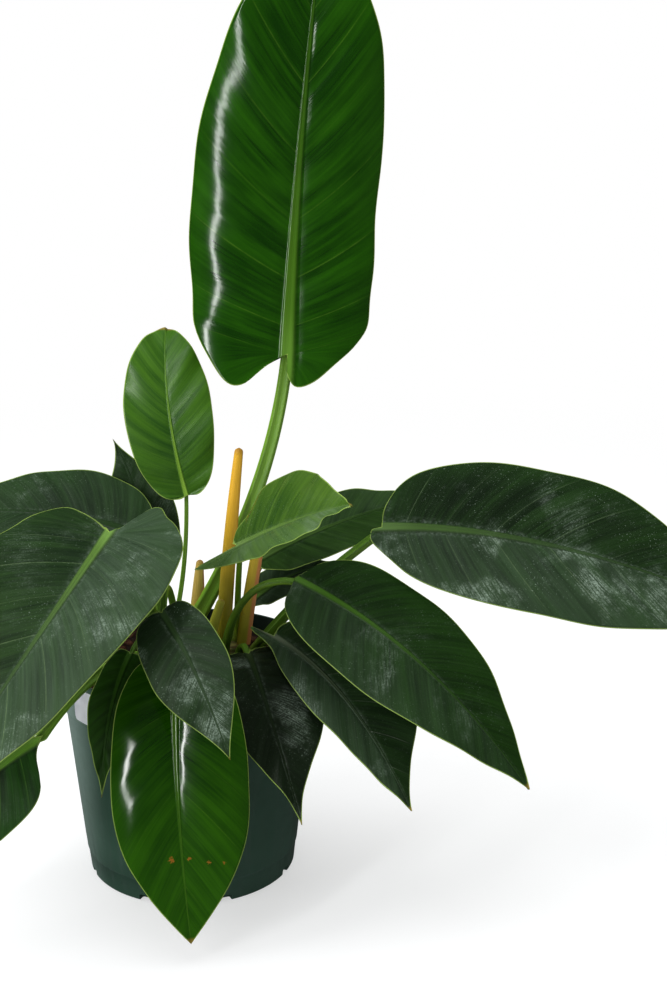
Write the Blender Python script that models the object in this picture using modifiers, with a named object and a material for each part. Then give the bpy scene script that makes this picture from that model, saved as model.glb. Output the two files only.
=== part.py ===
"""A young self-heading philodendron in a round plastic nursery pot.

Metres, +Z up. The origin is the centre of the pot's flat underside, and the plant's fullest side
faces -Y. Two short shoots grow out of the potting mix. Each carries leaves that are a petiole
(the leaf's stalk) and a blade, and between the petioles stand the sheaths that young leaves leave.
"""

import math
from collections import namedtuple

import bmesh
import bpy
from mathutils import Matrix, Vector

GAP = 0.0003  # left between pieces that rest on each other

# The pot: a tapered wall under an upright band that ends in the rim.
POT_HEIGHT = 0.145
RIM_RADIUS = 0.0825
BAND_HEIGHT = 0.029
BAND_FOOT_RADIUS = 0.0816
NECK_RADIUS = 0.0795
BASE_RADIUS = 0.068
STEP_HEIGHT = 0.015  # a small step in the wall, where the mould's base meets its side
STEP_DEPTH = 0.0006
POT_WALL = 0.0016
POT_FLOOR = 0.0025
POT_STEPS = 48
EDGE = 0.0005  # how far the rim's edges are cut back
BAND_FOOT_SLOPE = 0.003  # how high the inner wall leans out under the band
STEP_SLOPE = 0.0008
FOOT_BEVEL = 0.0015
DRAIN_HOLES = 8
DRAIN_SIZE = (0.012, 0.008, 0.009)  # along the radius, across it, and up

# The potting mix fills the pot to a little below the rim, and rises towards the shoots.
SOIL_HEIGHT = 0.136
SOIL_RISE = 0.002
SOIL_BEVEL = 0.010  # the mix is cut back here above the drain holes
MOUND_TOP = 0.030  # the radius of the level middle of the rise
MOUND_FOOT = 0.055  # and the radius at which it has nearly run out
MOUND_FOOT_RISE = 0.0005

# A blank sticker on the band.
LABEL_ANGLE = 224.0
LABEL_WIDTH = 0.026
LABEL_HEIGHT = 0.022
LABEL_MIDDLE = 0.130
LABEL_THICKNESS = 0.0002

# The shoots: where each one stands, and the ring on which its outer petioles are rooted.
SHOOTS = {"left": (-0.006, -0.002), "right": (0.028, -0.002)}
STEM_RADIUS = 0.0085
STEM_TOP = 0.151
STEM_TAPER = 0.9
RING_RADIUS = 0.0135
FOOT_LIFT = 0.95  # how high a petiole's foot lies over the mix, in its radii
ROOT_HEIGHT = SOIL_HEIGHT + SOIL_RISE + GAP

BLADE_THICKNESS = 0.0008
BLADE_ROWS = 12
BLADE_COLUMNS = 8
WELD = 0.00002  # points of the grid nearer than this become one

# The rule for a leaf's outline. All are shares of its length or of its half width.
MARGIN_SPLIT = 0.45  # the part of the margin's way that leads from the base to the widest place
LOBE_BACK = 2.6  # how far back the first control point lies, in lobe lengths
LOBE_WIDTH = 0.30  # and how far out
LOBE_SHOULDER = 0.4  # how far back the second one lies
FULL_SHARE = 0.45  # how far past its widest place the leaf stays full
NECK_LENGTH = 0.30  # how long a drawn-out tip is
NECK_WIDTH = 0.58  # how full a round tip is
NECK_NARROWING = 0.50  # and how much of that a drawn-out tip loses
VEIN_CROWDING = 1.2  # above 1 the grid's rows stand closer near the base
VEIN_SWEEP = 1.3  # above 1 they bend forward towards the margin
TUBE_SEGMENTS = 9
PETIOLE_TIP_RADIUS_SHARE = 0.75

# One leaf. base, bend and tip are the control points of its midrib, a quadratic curve. face is the
# way its upper side looks. left and right are its half widths, seen from above with the tip
# pointing away. lobe says how far it reaches back past its stalk and belly where it is widest, as
# shares of its length; point is 0 for a round tip and 1 for a drawn-out one. fold and curl are the
# angles, in degrees, at which its halves leave the midrib and by which they turn further to the
# margin. shoot and turn say where its petiole is rooted: turn is a direction in degrees on the ring
# round that shoot, or an (x, y) offset on the top of its stem. stalk is the petiole's radius, and
# rise is the control point that the petiole climbs towards.
Leaf = namedtuple(
    "Leaf", "name base bend tip face left right lobe belly point fold curl shoot turn stalk rise"
)

LEAVES = [
    Leaf("tall", (0.065, 0.010, 0.338), (0.070, 0.045, 0.450), (0.087, 0.060, 0.594),
         (0.0, -1.0, 0.2), 0.067, 0.054, 0.08, 0.42, 0.3, 12, -28,
         "left", (0.003, -0.001), 0.0052, (0.055, 0.012, 0.245)),
    Leaf("young_left", (0.001, 0.004, 0.249), (-0.013, 0.002, 0.306), (-0.012, 0.032, 0.351),
         (0.1, -1.0, 0.1), 0.028, 0.027, 0.01, 0.52, 0.05, 8, -10,
         "left", (-0.006, 0.004), 0.0017, (0.000, 0.012, 0.190)),
    Leaf("back_pointed", (-0.030, 0.056, 0.175), (-0.031, 0.068, 0.226), (-0.054, 0.078, 0.267),
         (0.1, -0.9, 0.4), 0.026, 0.024, 0.04, 0.40, 0.8, 6, -8,
         "left", 90, 0.0026, (-0.022, 0.050, 0.150)),
    Leaf("back_left", (-0.034, 0.032, 0.214), (-0.085, 0.048, 0.232), (-0.180, 0.060, 0.220),
         (-0.1, -0.55, 0.8), 0.030, 0.038, 0.03, 0.40, 0.7, 8, -12,
         "left", 140, 0.0034, (-0.020, 0.026, 0.180)),
    Leaf("front_left", (-0.038, -0.072, 0.248), (-0.060, -0.130, 0.224), (-0.129, -0.190, 0.127),
         (-0.15, -0.65, 0.75), 0.058, 0.064, 0.06, 0.36, 0.6, 8, -14,
         "left", 225, 0.0038, (-0.024, -0.040, 0.235)),
    Leaf("low_left", (-0.0775, -0.104, 0.133), (-0.110, -0.120, 0.116), (-0.172, -0.138, 0.060),
         (0.1, -0.9, 0.4), 0.034, 0.026, -0.10, 0.55, 0.6, 8, -12,
         "left", 178, 0.0042, (-0.050, -0.058, 0.168)),
    Leaf("front_dusty", (-0.006, -0.094, 0.206), (0.016, -0.128, 0.188), (0.035, -0.138, 0.133),
         (0.0, -0.85, 0.52), 0.022, 0.026, 0.04, 0.42, 0.6, 4, -8,
         "left", 285, 0.0024, (-0.006, -0.060, 0.240)),
    Leaf("rim_small", (-0.028, -0.074, 0.173), (-0.042, -0.096, 0.148), (-0.044, -0.106, 0.094),
         (-0.15, -0.9, 0.35), 0.015, 0.014, 0.02, 0.45, 0.7, 5, -10,
         "left", 255, 0.0020, (-0.020, -0.050, 0.190)),
    Leaf("hanging", (0.000, -0.085, 0.168), (0.000, -0.128, 0.120), (0.010, -0.138, 0.015),
         (0.0, -1.0, 0.15), 0.044, 0.040, 0.05, 0.54, 0.35, 14, -46,
         "left", 316, 0.0030, (0.002, -0.060, 0.190)),
    Leaf("hanging_dark", (0.041, -0.040, 0.159), (0.052, -0.090, 0.158), (0.075, -0.112, 0.079),
         (0.2, -0.75, 0.6), 0.036, 0.026, 0.05, 0.45, 0.7, 5, -8,
         "right", 285, 0.0026, (0.036, -0.023, 0.169)),
    Leaf("narrow", (0.057, -0.038, 0.170), (0.106, -0.084, 0.159), (0.140, -0.112, 0.088),
         (0.2, -0.7, 0.7), 0.043, 0.022, 0.02, 0.48, 0.7, 6, -6,
         "right", 320, 0.0024, (0.048, -0.018, 0.168)),
    Leaf("right_low", (0.070, -0.032, 0.206), (0.150, -0.090, 0.186), (0.209, -0.112, 0.102),
         (0.15, -0.65, 0.75), 0.038, 0.040, -0.01, 0.38, 0.5, 6, -10,
         "right", 250, 0.0030, (0.030, -0.034, 0.210)),
    Leaf("right_high", (0.124, -0.010, 0.232), (0.220, -0.025, 0.240), (0.345, -0.050, 0.192),
         (-0.05, -0.65, 0.75), 0.055, 0.050, 0.00, 0.50, 0.5, 5, -10,
         "right", 20, 0.0040, (0.075, 0.000, 0.190)),
    Leaf("back_right", (0.047, 0.036, 0.197), (0.100, 0.060, 0.220), (0.165, 0.086, 0.226),
         (-0.2, -0.6, 0.75), 0.025, 0.024, 0.04, 0.42, 0.6, 6, -8,
         "right", 90, 0.0028, (0.036, 0.024, 0.178)),
    Leaf("back_low", (0.040, 0.036, 0.168), (0.066, 0.050, 0.184), (0.094, 0.060, 0.186),
         (-0.1, -0.7, 0.7), 0.014, 0.012, 0.04, 0.42, 0.7, 5, -8,
         "right", 60, 0.0024, (0.035, 0.026, 0.152)),
    Leaf("young_centre", (0.035, -0.036, 0.2285), (0.074, -0.070, 0.259), (0.104, -0.104, 0.275),
         (-0.2, -0.65, 0.7), 0.035, 0.018, 0.12, 0.42, 0.6, 10, -10,
         "right", (0.003, 0.006), 0.0024, (0.0335, -0.010, 0.205)),
    Leaf("right_under", (0.058, -0.021, 0.156), (0.094, -0.042, 0.168), (0.119, -0.062, 0.101),
         (0.2, -0.7, 0.7), 0.015, 0.021, 0.03, 0.42, 0.7, 5, -6,
         "right", 350, 0.0020, (0.050, -0.014, 0.152)),
]

# One sheath: its root, a control point, its tip, and its radii at both ends.
Sheath = namedtuple("Sheath", "name root rise tip thick thin")

SHEATHS = [
    Sheath("tall", (0.023, -0.009, 0.153), (0.028, -0.008, 0.222), (0.035, 0.000, 0.281),
           0.0050, 0.0027),
    Sheath("right", (0.036, -0.006, 0.153), (0.040, -0.004, 0.185), (0.048, 0.006, 0.226),
           0.0046, 0.0036),
    Sheath("short", (0.0105, -0.014, 0.142), (0.0165, -0.018, 0.166), (0.0235, -0.0165, 0.187),
           0.0040, 0.0026),
    Sheath("left", (0.004, 0.010, 0.142), (0.006, 0.010, 0.175), (0.008, 0.011, 0.204),
           0.0054, 0.0022),
]

LEAF_GREEN = (0.025, 0.085, 0.018, 1)
YOUNG_GREEN = (0.055, 0.190, 0.020, 1)
PETIOLE_GREEN = (0.110, 0.250, 0.030, 1)
SHEATH_YELLOW = (0.520, 0.330, 0.050, 1)
YOUNG_LEAVES = ("tall", "young_left", "young_centre", "hanging")


def clear_scene():
    for thing in list(bpy.data.objects):
        bpy.data.objects.remove(thing)


def new_collection(name, hidden=False):
    group = bpy.data.collections.new(name)
    group.hide_render = hidden
    bpy.context.scene.collection.children.link(group)
    return group


def material(name, colour, roughness, metallic=0.0):
    made = bpy.data.materials.new(name)
    made.use_nodes = True
    shader = made.node_tree.nodes["Principled BSDF"]
    shader.inputs["Base Color"].default_value = colour
    shader.inputs["Roughness"].default_value = roughness
    shader.inputs["Metallic"].default_value = metallic
    return made


def add_object(name, data, group, finish=None):
    thing = bpy.data.objects.new(name, data)
    group.objects.link(thing)
    if finish:
        data.materials.append(finish)
    return thing


def turned(name, profile, group, finish, steps=POT_STEPS):
    """A solid turned round Z. The profile lists (radius, height) down its outer side."""
    mesh = bpy.data.meshes.new(name)
    points = [(radius, 0, height) for radius, height in profile]
    mesh.from_pydata(points, [(i, i + 1) for i in range(len(points) - 1)], [])
    thing = add_object(name, mesh, group, finish)
    screw = thing.modifiers.new("turn", "SCREW")
    screw.steps = screw.render_steps = steps
    screw.use_merge_vertices = True
    screw.merge_threshold = 0.00001
    screw.use_smooth_shade = True
    return thing


def wall_radius(height):
    """The outer radius of the tapered wall between the base and the band."""
    share = height / (POT_HEIGHT - BAND_HEIGHT)
    return BASE_RADIUS + share * (NECK_RADIUS - BASE_RADIUS)


def cut(thing, cutter):
    boolean = thing.modifiers.new(cutter.name, "BOOLEAN")
    boolean.operation = "DIFFERENCE"
    boolean.object = cutter


def make_drain_cutter(group):
    """Eight blocks in one mesh, which open the corner between the pot's wall and its floor."""
    bm = bmesh.new()
    for i in range(DRAIN_HOLES):
        block = bmesh.ops.create_cube(bm, size=1)["verts"]
        bmesh.ops.scale(bm, vec=DRAIN_SIZE, verts=block)
        bmesh.ops.translate(bm, vec=(BASE_RADIUS, 0, 0), verts=block)
        turn = Matrix.Rotation(math.tau * (i + 0.5) / DRAIN_HOLES, 3, "Z")
        bmesh.ops.rotate(bm, cent=(0, 0, 0), matrix=turn, verts=block)
    mesh = bpy.data.meshes.new("drain_cutter")
    bm.to_mesh(mesh)
    bm.free()
    cutter = add_object("drain_cutter", mesh, group)
    cutter.hide_render = True
    cutter.display_type = "WIRE"
    return cutter


def make_pot(group, cutters):
    """The pot, open at the top, with drain holes round its foot."""
    band_foot = POT_HEIGHT - BAND_HEIGHT
    step = wall_radius(STEP_HEIGHT)
    profile = [
        (0, POT_FLOOR),
        (wall_radius(POT_FLOOR) - POT_WALL, POT_FLOOR),
        (NECK_RADIUS - POT_WALL, band_foot),
        (BAND_FOOT_RADIUS - POT_WALL, band_foot + BAND_FOOT_SLOPE),
        (RIM_RADIUS - POT_WALL, POT_HEIGHT - EDGE),
        (RIM_RADIUS - POT_WALL + EDGE, POT_HEIGHT),
        (RIM_RADIUS - EDGE, POT_HEIGHT),
        (RIM_RADIUS, POT_HEIGHT - EDGE),
        (BAND_FOOT_RADIUS, band_foot),
        (NECK_RADIUS, band_foot - EDGE),
        (step, STEP_HEIGHT + STEP_SLOPE),
        (step - STEP_DEPTH, STEP_HEIGHT),
        (BASE_RADIUS - STEP_DEPTH, FOOT_BEVEL),
        (BASE_RADIUS - STEP_DEPTH - FOOT_BEVEL, 0),
        (0, 0),
    ]
    pot = turned("pot", profile, group, material("pot_plastic", (0.012, 0.040, 0.028, 1), 0.35))
    cut(pot, make_drain_cutter(cutters))
    return pot


def make_soil(group):
    """The potting mix: the pot's inner shape, with a slightly domed top."""
    inset = POT_WALL + GAP
    neck = POT_HEIGHT - BAND_HEIGHT
    top_radius = BAND_FOOT_RADIUS - inset
    profile = [
        (0, SOIL_HEIGHT + SOIL_RISE),
        (MOUND_TOP, SOIL_HEIGHT + SOIL_RISE),
        (MOUND_FOOT, SOIL_HEIGHT + MOUND_FOOT_RISE),
        (top_radius, SOIL_HEIGHT),
        (top_radius, neck + BAND_FOOT_SLOPE),
        (NECK_RADIUS - inset, neck),
        (wall_radius(SOIL_BEVEL) - inset, SOIL_BEVEL),
        (wall_radius(0) - inset - SOIL_BEVEL, POT_FLOOR + GAP),
        (0, POT_FLOOR + GAP),
    ]
    return turned("potting_soil", profile, group, material("soil", (0.020, 0.011, 0.007, 1), 0.95))


def band_radius(height):
    """The outer radius of the band at a height."""
    share = (height - POT_HEIGHT + BAND_HEIGHT) / BAND_HEIGHT
    return BAND_FOOT_RADIUS + share * (RIM_RADIUS - BAND_FOOT_RADIUS)


def make_label(group):
    """A thin blank sticker that follows the band."""
    bm = bmesh.new()
    bmesh.ops.create_grid(bm, x_segments=8, y_segments=2, size=0.5)
    for vert in bm.verts:
        height = LABEL_MIDDLE + vert.co.y * LABEL_HEIGHT
        angle = math.radians(LABEL_ANGLE) + vert.co.x * LABEL_WIDTH / RIM_RADIUS
        radius = band_radius(height) + GAP
        vert.co = (radius * math.cos(angle), radius * math.sin(angle), height)
    mesh = bpy.data.meshes.new("pot_label")
    bm.to_mesh(mesh)
    bm.free()
    label = add_object("pot_label", mesh, group, material("label_paper", (0.85, 0.86, 0.88, 1), 0.5))
    solidify(label, LABEL_THICKNESS, 1)
    return label


def solidify(thing, thickness, offset):
    shell = thing.modifiers.new("thickness", "SOLIDIFY")
    shell.thickness = thickness
    shell.offset = offset


def tube(name, points, radii, group, finish):
    """A rod of changing radius along the points, closed at both ends."""
    curve = bpy.data.curves.new(name, "CURVE")
    curve.dimensions = "3D"
    curve.bevel_depth = 1
    curve.bevel_resolution = 2
    curve.use_fill_caps = True
    spline = curve.splines.new("POLY")
    spline.points.add(len(points) - 1)
    for node, point, radius in zip(spline.points, points, radii):
        node.co = (*point, 1)
        node.radius = radius
    return add_object(name, curve, group, finish)


def quadratic(start, bend, end, share):
    """The point at a share of a quadratic curve's way."""
    rest = 1 - share
    return rest * rest * start + 2 * rest * share * bend + share * share * end


def cubic(p0, p1, p2, p3, share):
    """The point at a share of a cubic curve's way."""
    rest = 1 - share
    return (rest**3 * p0 + 3 * rest * rest * share * p1
            + 3 * rest * share * share * p2 + share**3 * p3)


def outline(leaf, share):
    """Where the margin runs: (way along the midrib, half width), both as shares."""
    belly = Vector((leaf.belly, 1))
    if share < MARGIN_SPLIT:
        back = Vector((-LOBE_BACK * leaf.lobe, LOBE_WIDTH))
        shoulder = Vector((-LOBE_SHOULDER * leaf.lobe, 1))
        return cubic(Vector((0, 0)), back, shoulder, belly, share / MARGIN_SPLIT)
    ahead = Vector((leaf.belly + FULL_SHARE * (1 - leaf.belly), 1))
    neck = Vector((1 - NECK_LENGTH * leaf.point, NECK_WIDTH - NECK_NARROWING * leaf.point))
    return cubic(belly, ahead, neck, Vector((1, 0)), (share - MARGIN_SPLIT) / (1 - MARGIN_SPLIT))


def blade_frame(leaf, way):
    """The midrib's point, and the leaf's right-hand side and upper side there."""
    base, bend, tip = Vector(leaf.base), Vector(leaf.bend), Vector(leaf.tip)
    along = (tip - base).normalized()
    side = along.cross(Vector(leaf.face)).normalized()
    inside = max(way, 0)
    heading = (1 - inside) * (bend - base) + inside * (tip - bend)
    point = quadratic(base, bend, tip, inside) + min(way, 0) * 2 * (bend - base)
    heading.normalize()
    side = (side - side.dot(heading) * heading).normalized()
    return point, side, side.cross(heading)


def blade_point(leaf, share, across):
    """A point of the blade: share runs from its base to its tip, across from -1 (left) to 1."""
    end = outline(leaf, share)
    start = share**VEIN_CROWDING
    reach = abs(across)
    way = start + (end.x - start) * reach**VEIN_SWEEP
    point, side, up = blade_frame(leaf, way)
    half = leaf.right if across > 0 else leaf.left
    fold, curl = math.radians(leaf.fold), math.radians(leaf.curl)
    turn = fold + curl * end.y * reach
    outward = (math.sin(turn) - math.sin(fold)) / curl * half
    upward = (math.cos(fold) - math.cos(turn)) / curl * half
    return point + side * math.copysign(outward, across) + up * upward


def make_blade(leaf, group, finish):
    """The leaf's blade: a grid laid along its veins, drawn together at its base and tip."""
    name = f"blade_{leaf.name}"
    bm = bmesh.new()
    bmesh.ops.create_grid(bm, x_segments=BLADE_COLUMNS, y_segments=BLADE_ROWS, size=0.5)
    for vert in bm.verts:
        vert.co = blade_point(leaf, vert.co.y + 0.5, vert.co.x * 2)
    bmesh.ops.remove_doubles(bm, verts=bm.verts, dist=WELD)
    mesh = bpy.data.meshes.new(name)
    bm.to_mesh(mesh)
    bm.free()
    mesh.shade_smooth()
    blade = add_object(name, mesh, group, finish)
    solidify(blade, BLADE_THICKNESS, 0)
    return blade


def petiole_root(leaf):
    """Where the petiole starts: on the shoot's ring, or on the shoot's top."""
    x, y = SHOOTS[leaf.shoot]
    if isinstance(leaf.turn, tuple):
        return Vector((x + leaf.turn[0], y + leaf.turn[1], STEM_TOP + GAP + leaf.stalk / 2))
    angle = math.radians(leaf.turn)
    ring = Vector((math.cos(angle), math.sin(angle), 0)) * RING_RADIUS
    return Vector((x, y, ROOT_HEIGHT + leaf.stalk * FOOT_LIFT)) + ring


def make_petiole(leaf, group, finish):
    """The leaf's stalk, from its root to just under the blade's base."""
    base, _, up = blade_frame(leaf, 0)
    thin = leaf.stalk * PETIOLE_TIP_RADIUS_SHARE
    end = base - up * (thin + BLADE_THICKNESS / 2 + GAP)
    root, rise = petiole_root(leaf), Vector(leaf.rise)
    shares = [i / TUBE_SEGMENTS for i in range(TUBE_SEGMENTS + 1)]
    points = [quadratic(root, rise, end, share) for share in shares]
    radii = [leaf.stalk + (thin - leaf.stalk) * share for share in shares]
    return tube(f"petiole_{leaf.name}", points, radii, group, finish)


def make_sheath(sheath, group, finish):
    """A sheath: a tapered wrapper that stands among the petioles."""
    root, rise, tip = Vector(sheath.root), Vector(sheath.rise), Vector(sheath.tip)
    shares = [i / TUBE_SEGMENTS for i in range(TUBE_SEGMENTS + 1)]
    points = [quadratic(root, rise, tip, share) for share in shares]
    radii = [sheath.thick + (sheath.thin - sheath.thick) * share**2 for share in shares]
    return tube(f"sheath_{sheath.name}", points, radii, group, finish)


def make_stem(side, group, finish):
    """The short stem of one shoot, standing on the potting mix."""
    x, y = SHOOTS[side]
    height = STEM_TOP - ROOT_HEIGHT
    bm = bmesh.new()
    bmesh.ops.create_cone(bm, cap_ends=True, segments=16, radius1=STEM_RADIUS,
                          radius2=STEM_RADIUS * STEM_TAPER, depth=height)
    bmesh.ops.translate(bm, vec=(x, y, ROOT_HEIGHT + height / 2), verts=bm.verts)
    mesh = bpy.data.meshes.new(f"stem_{side}")
    bm.to_mesh(mesh)
    bm.free()
    return add_object(f"stem_{side}", mesh, group, finish)


def main():
    clear_scene()
    group = new_collection("potted_philodendron")
    cutters = new_collection("cutters", hidden=True)
    make_pot(group, cutters)
    make_soil(group)
    make_label(group)
    old = material("leaf_green", LEAF_GREEN, 0.45)
    young = material("young_leaf_green", YOUNG_GREEN, 0.3)
    stalk = material("petiole_green", PETIOLE_GREEN, 0.4)
    wrapper = material("sheath_yellow", SHEATH_YELLOW, 0.5)
    for side in SHOOTS:
        make_stem(side, group, stalk)
    for leaf in LEAVES:
        make_blade(leaf, group, young if leaf.name in YOUNG_LEAVES else old)
        make_petiole(leaf, group, stalk)
    for sheath in SHEATHS:
        make_sheath(sheath, group, wrapper)


main()
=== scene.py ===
"""The looks of a young self-heading philodendron in a nursery pot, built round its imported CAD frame.

Every piece stands for the CAD node of the same name and lies where that node lies, in metres.
"""

import math
import random
from collections import namedtuple

import bmesh
import bpy
import numpy as np
from mathutils import Matrix, Vector, noise


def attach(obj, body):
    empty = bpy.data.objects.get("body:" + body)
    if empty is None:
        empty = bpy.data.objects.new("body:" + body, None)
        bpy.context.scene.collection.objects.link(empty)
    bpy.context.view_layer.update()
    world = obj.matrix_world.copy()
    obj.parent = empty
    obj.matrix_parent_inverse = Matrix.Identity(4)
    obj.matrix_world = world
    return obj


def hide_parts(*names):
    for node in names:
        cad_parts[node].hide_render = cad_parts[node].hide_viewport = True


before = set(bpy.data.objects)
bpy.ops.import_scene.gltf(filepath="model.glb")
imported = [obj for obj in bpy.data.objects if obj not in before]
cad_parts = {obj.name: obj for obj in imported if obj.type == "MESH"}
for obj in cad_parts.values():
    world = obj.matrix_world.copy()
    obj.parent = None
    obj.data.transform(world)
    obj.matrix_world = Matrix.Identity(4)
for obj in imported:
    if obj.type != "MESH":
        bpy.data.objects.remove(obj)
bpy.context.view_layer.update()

GAP = 0.0003

# The pot, as in the CAD source.
POT_HEIGHT = 0.145
RIM_RADIUS = 0.0825
BAND_HEIGHT = 0.029
BAND_FOOT_RADIUS = 0.0816
NECK_RADIUS = 0.0795
BASE_RADIUS = 0.068
STEP_HEIGHT = 0.015
STEP_DEPTH = 0.0006
POT_WALL = 0.0016
POT_FLOOR = 0.0025
POT_STEPS = 160
DRAIN_HOLES = 8
DRAIN_SIZE = (0.012, 0.008, 0.009)
SOIL_HEIGHT = 0.136
SOIL_RISE = 0.002
SOIL_BEVEL = 0.010
LABEL_ANGLE = 224.0
LABEL_WIDTH = 0.026
LABEL_HEIGHT = 0.022
LABEL_MIDDLE = 0.130
LABEL_CORNER = 0.0025
LABEL_THICKNESS = 0.00022
LABEL_STANDOFF = 0.00008
SHOOTS = {"left": (-0.006, -0.002), "right": (0.028, -0.002)}
STEM_RADIUS = 0.0085
STEM_TOP = 0.151
RING_RADIUS = 0.0135
ROOT_HEIGHT = SOIL_HEIGHT + SOIL_RISE + GAP
PETIOLE_TIP_RADIUS_SHARE = 0.75
BLADE_THICKNESS = 0.0008

# base, bend and tip are the control points of the midrib, and face the way its upper side looks.
# left and right are the half widths, lobe how far the base reaches back, belly where it is widest,
# point how sharp the tip is, fold and curl how the halves turn up and over, in degrees. The stalk has a
# radius (stalk), bends at rise, and starts from a shoot: turn is its bearing or its offset there.
Leaf = namedtuple(
    "Leaf", "name base bend tip face left right lobe belly point fold curl shoot turn stalk rise"
)
LEAVES = [
    Leaf("tall", (0.065, 0.010, 0.338), (0.070, 0.045, 0.450), (0.087, 0.060, 0.594),
         (0.0, -1.0, 0.2), 0.067, 0.054, 0.08, 0.42, 0.3, 12, -28,
         "left", (0.003, -0.001), 0.0052, (0.055, 0.012, 0.245)),
    Leaf("young_left", (0.001, 0.004, 0.249), (-0.013, 0.002, 0.306), (-0.012, 0.032, 0.351),
         (0.1, -1.0, 0.1), 0.028, 0.027, 0.01, 0.52, 0.05, 8, -10,
         "left", (-0.006, 0.004), 0.0017, (0.000, 0.012, 0.190)),
    Leaf("back_pointed", (-0.030, 0.056, 0.175), (-0.031, 0.068, 0.226), (-0.054, 0.078, 0.267),
         (0.1, -0.9, 0.4), 0.026, 0.024, 0.04, 0.40, 0.8, 6, -8,
         "left", 90, 0.0026, (-0.022, 0.050, 0.150)),
    Leaf("back_left", (-0.034, 0.032, 0.214), (-0.085, 0.048, 0.232), (-0.180, 0.060, 0.220),
         (-0.1, -0.55, 0.8), 0.030, 0.038, 0.03, 0.40, 0.7, 8, -12,
         "left", 140, 0.0034, (-0.020, 0.026, 0.180)),
    Leaf("front_left", (-0.038, -0.072, 0.248), (-0.060, -0.130, 0.224), (-0.129, -0.190, 0.127),
         (-0.15, -0.65, 0.75), 0.058, 0.064, 0.06, 0.36, 0.6, 8, -14,
         "left", 225, 0.0038, (-0.024, -0.040, 0.235)),
    Leaf("low_left", (-0.0775, -0.104, 0.133), (-0.110, -0.120, 0.116), (-0.172, -0.138, 0.060),
         (0.1, -0.9, 0.4), 0.034, 0.026, -0.10, 0.55, 0.6, 8, -12,
         "left", 178, 0.0042, (-0.050, -0.058, 0.168)),
    Leaf("front_dusty", (-0.006, -0.094, 0.206), (0.016, -0.128, 0.188), (0.035, -0.138, 0.133),
         (0.0, -0.85, 0.52), 0.022, 0.026, 0.04, 0.42, 0.6, 4, -8,
         "left", 285, 0.0024, (-0.006, -0.060, 0.240)),
    Leaf("rim_small", (-0.028, -0.074, 0.173), (-0.042, -0.096, 0.148), (-0.044, -0.106, 0.094),
         (-0.15, -0.9, 0.35), 0.015, 0.014, 0.02, 0.45, 0.7, 5, -10,
         "left", 255, 0.0020, (-0.020, -0.050, 0.190)),
    Leaf("hanging", (0.000, -0.085, 0.168), (0.000, -0.128, 0.120), (0.010, -0.138, 0.015),
         (0.0, -1.0, 0.15), 0.044, 0.040, 0.05, 0.54, 0.35, 14, -46,
         "left", 316, 0.0030, (0.002, -0.060, 0.190)),
    Leaf("hanging_dark", (0.041, -0.040, 0.159), (0.052, -0.090, 0.158), (0.075, -0.112, 0.079),
         (0.2, -0.75, 0.6), 0.036, 0.026, 0.05, 0.45, 0.7, 5, -8,
         "right", 285, 0.0026, (0.036, -0.023, 0.169)),
    Leaf("narrow", (0.057, -0.038, 0.170), (0.106, -0.084, 0.159), (0.140, -0.112, 0.088),
         (0.2, -0.7, 0.7), 0.043, 0.022, 0.02, 0.48, 0.7, 6, -6,
         "right", 320, 0.0024, (0.048, -0.018, 0.168)),
    Leaf("right_low", (0.070, -0.032, 0.206), (0.150, -0.090, 0.186), (0.209, -0.112, 0.102),
         (0.15, -0.65, 0.75), 0.038, 0.040, -0.01, 0.38, 0.5, 6, -10,
         "right", 250, 0.0030, (0.030, -0.034, 0.210)),
    Leaf("right_high", (0.124, -0.010, 0.232), (0.220, -0.025, 0.240), (0.345, -0.050, 0.192),
         (-0.05, -0.65, 0.75), 0.055, 0.050, 0.00, 0.50, 0.5, 5, -10,
         "right", 20, 0.0040, (0.075, 0.000, 0.190)),
    Leaf("back_right", (0.047, 0.036, 0.197), (0.100, 0.060, 0.220), (0.165, 0.086, 0.226),
         (-0.2, -0.6, 0.75), 0.025, 0.024, 0.04, 0.42, 0.6, 6, -8,
         "right", 90, 0.0028, (0.036, 0.024, 0.178)),
    Leaf("back_low", (0.040, 0.036, 0.168), (0.066, 0.050, 0.184), (0.094, 0.060, 0.186),
         (-0.1, -0.7, 0.7), 0.014, 0.012, 0.04, 0.42, 0.7, 5, -8,
         "right", 60, 0.0024, (0.035, 0.026, 0.152)),
    Leaf("young_centre", (0.035, -0.036, 0.2285), (0.074, -0.070, 0.259), (0.104, -0.104, 0.275),
         (-0.2, -0.65, 0.7), 0.035, 0.018, 0.12, 0.42, 0.6, 10, -10,
         "right", (0.003, 0.006), 0.0024, (0.0335, -0.010, 0.205)),
    Leaf("right_under", (0.058, -0.021, 0.156), (0.094, -0.042, 0.168), (0.119, -0.062, 0.101),
         (0.2, -0.7, 0.7), 0.015, 0.021, 0.03, 0.42, 0.7, 5, -6,
         "right", 350, 0.0020, (0.050, -0.014, 0.152)),
]
Sheath = namedtuple("Sheath", "name root rise tip thick thin")
SHEATHS = [
    Sheath("tall", (0.023, -0.009, 0.153), (0.028, -0.008, 0.222), (0.035, 0.000, 0.281),
           0.0050, 0.0027),
    Sheath("right", (0.036, -0.006, 0.153), (0.040, -0.004, 0.185), (0.048, 0.006, 0.226),
           0.0046, 0.0036),
    Sheath("short", (0.0105, -0.014, 0.142), (0.0165, -0.018, 0.166), (0.0235, -0.0165, 0.187),
           0.0040, 0.0026),
    Sheath("left", (0.004, 0.010, 0.142), (0.006, 0.010, 0.175), (0.008, 0.011, 0.204),
           0.0054, 0.0022),
]
YOUNG_LEAVES = ("tall", "young_left", "young_centre", "hanging")
# The young leaves' stalks are pale. low_left's stalk takes the same pale finish as painted light, to lift
# the shade it lies in.
PALE_AND_BRIGHTENED_STALKS = (*YOUNG_LEAVES, "low_left")
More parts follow.
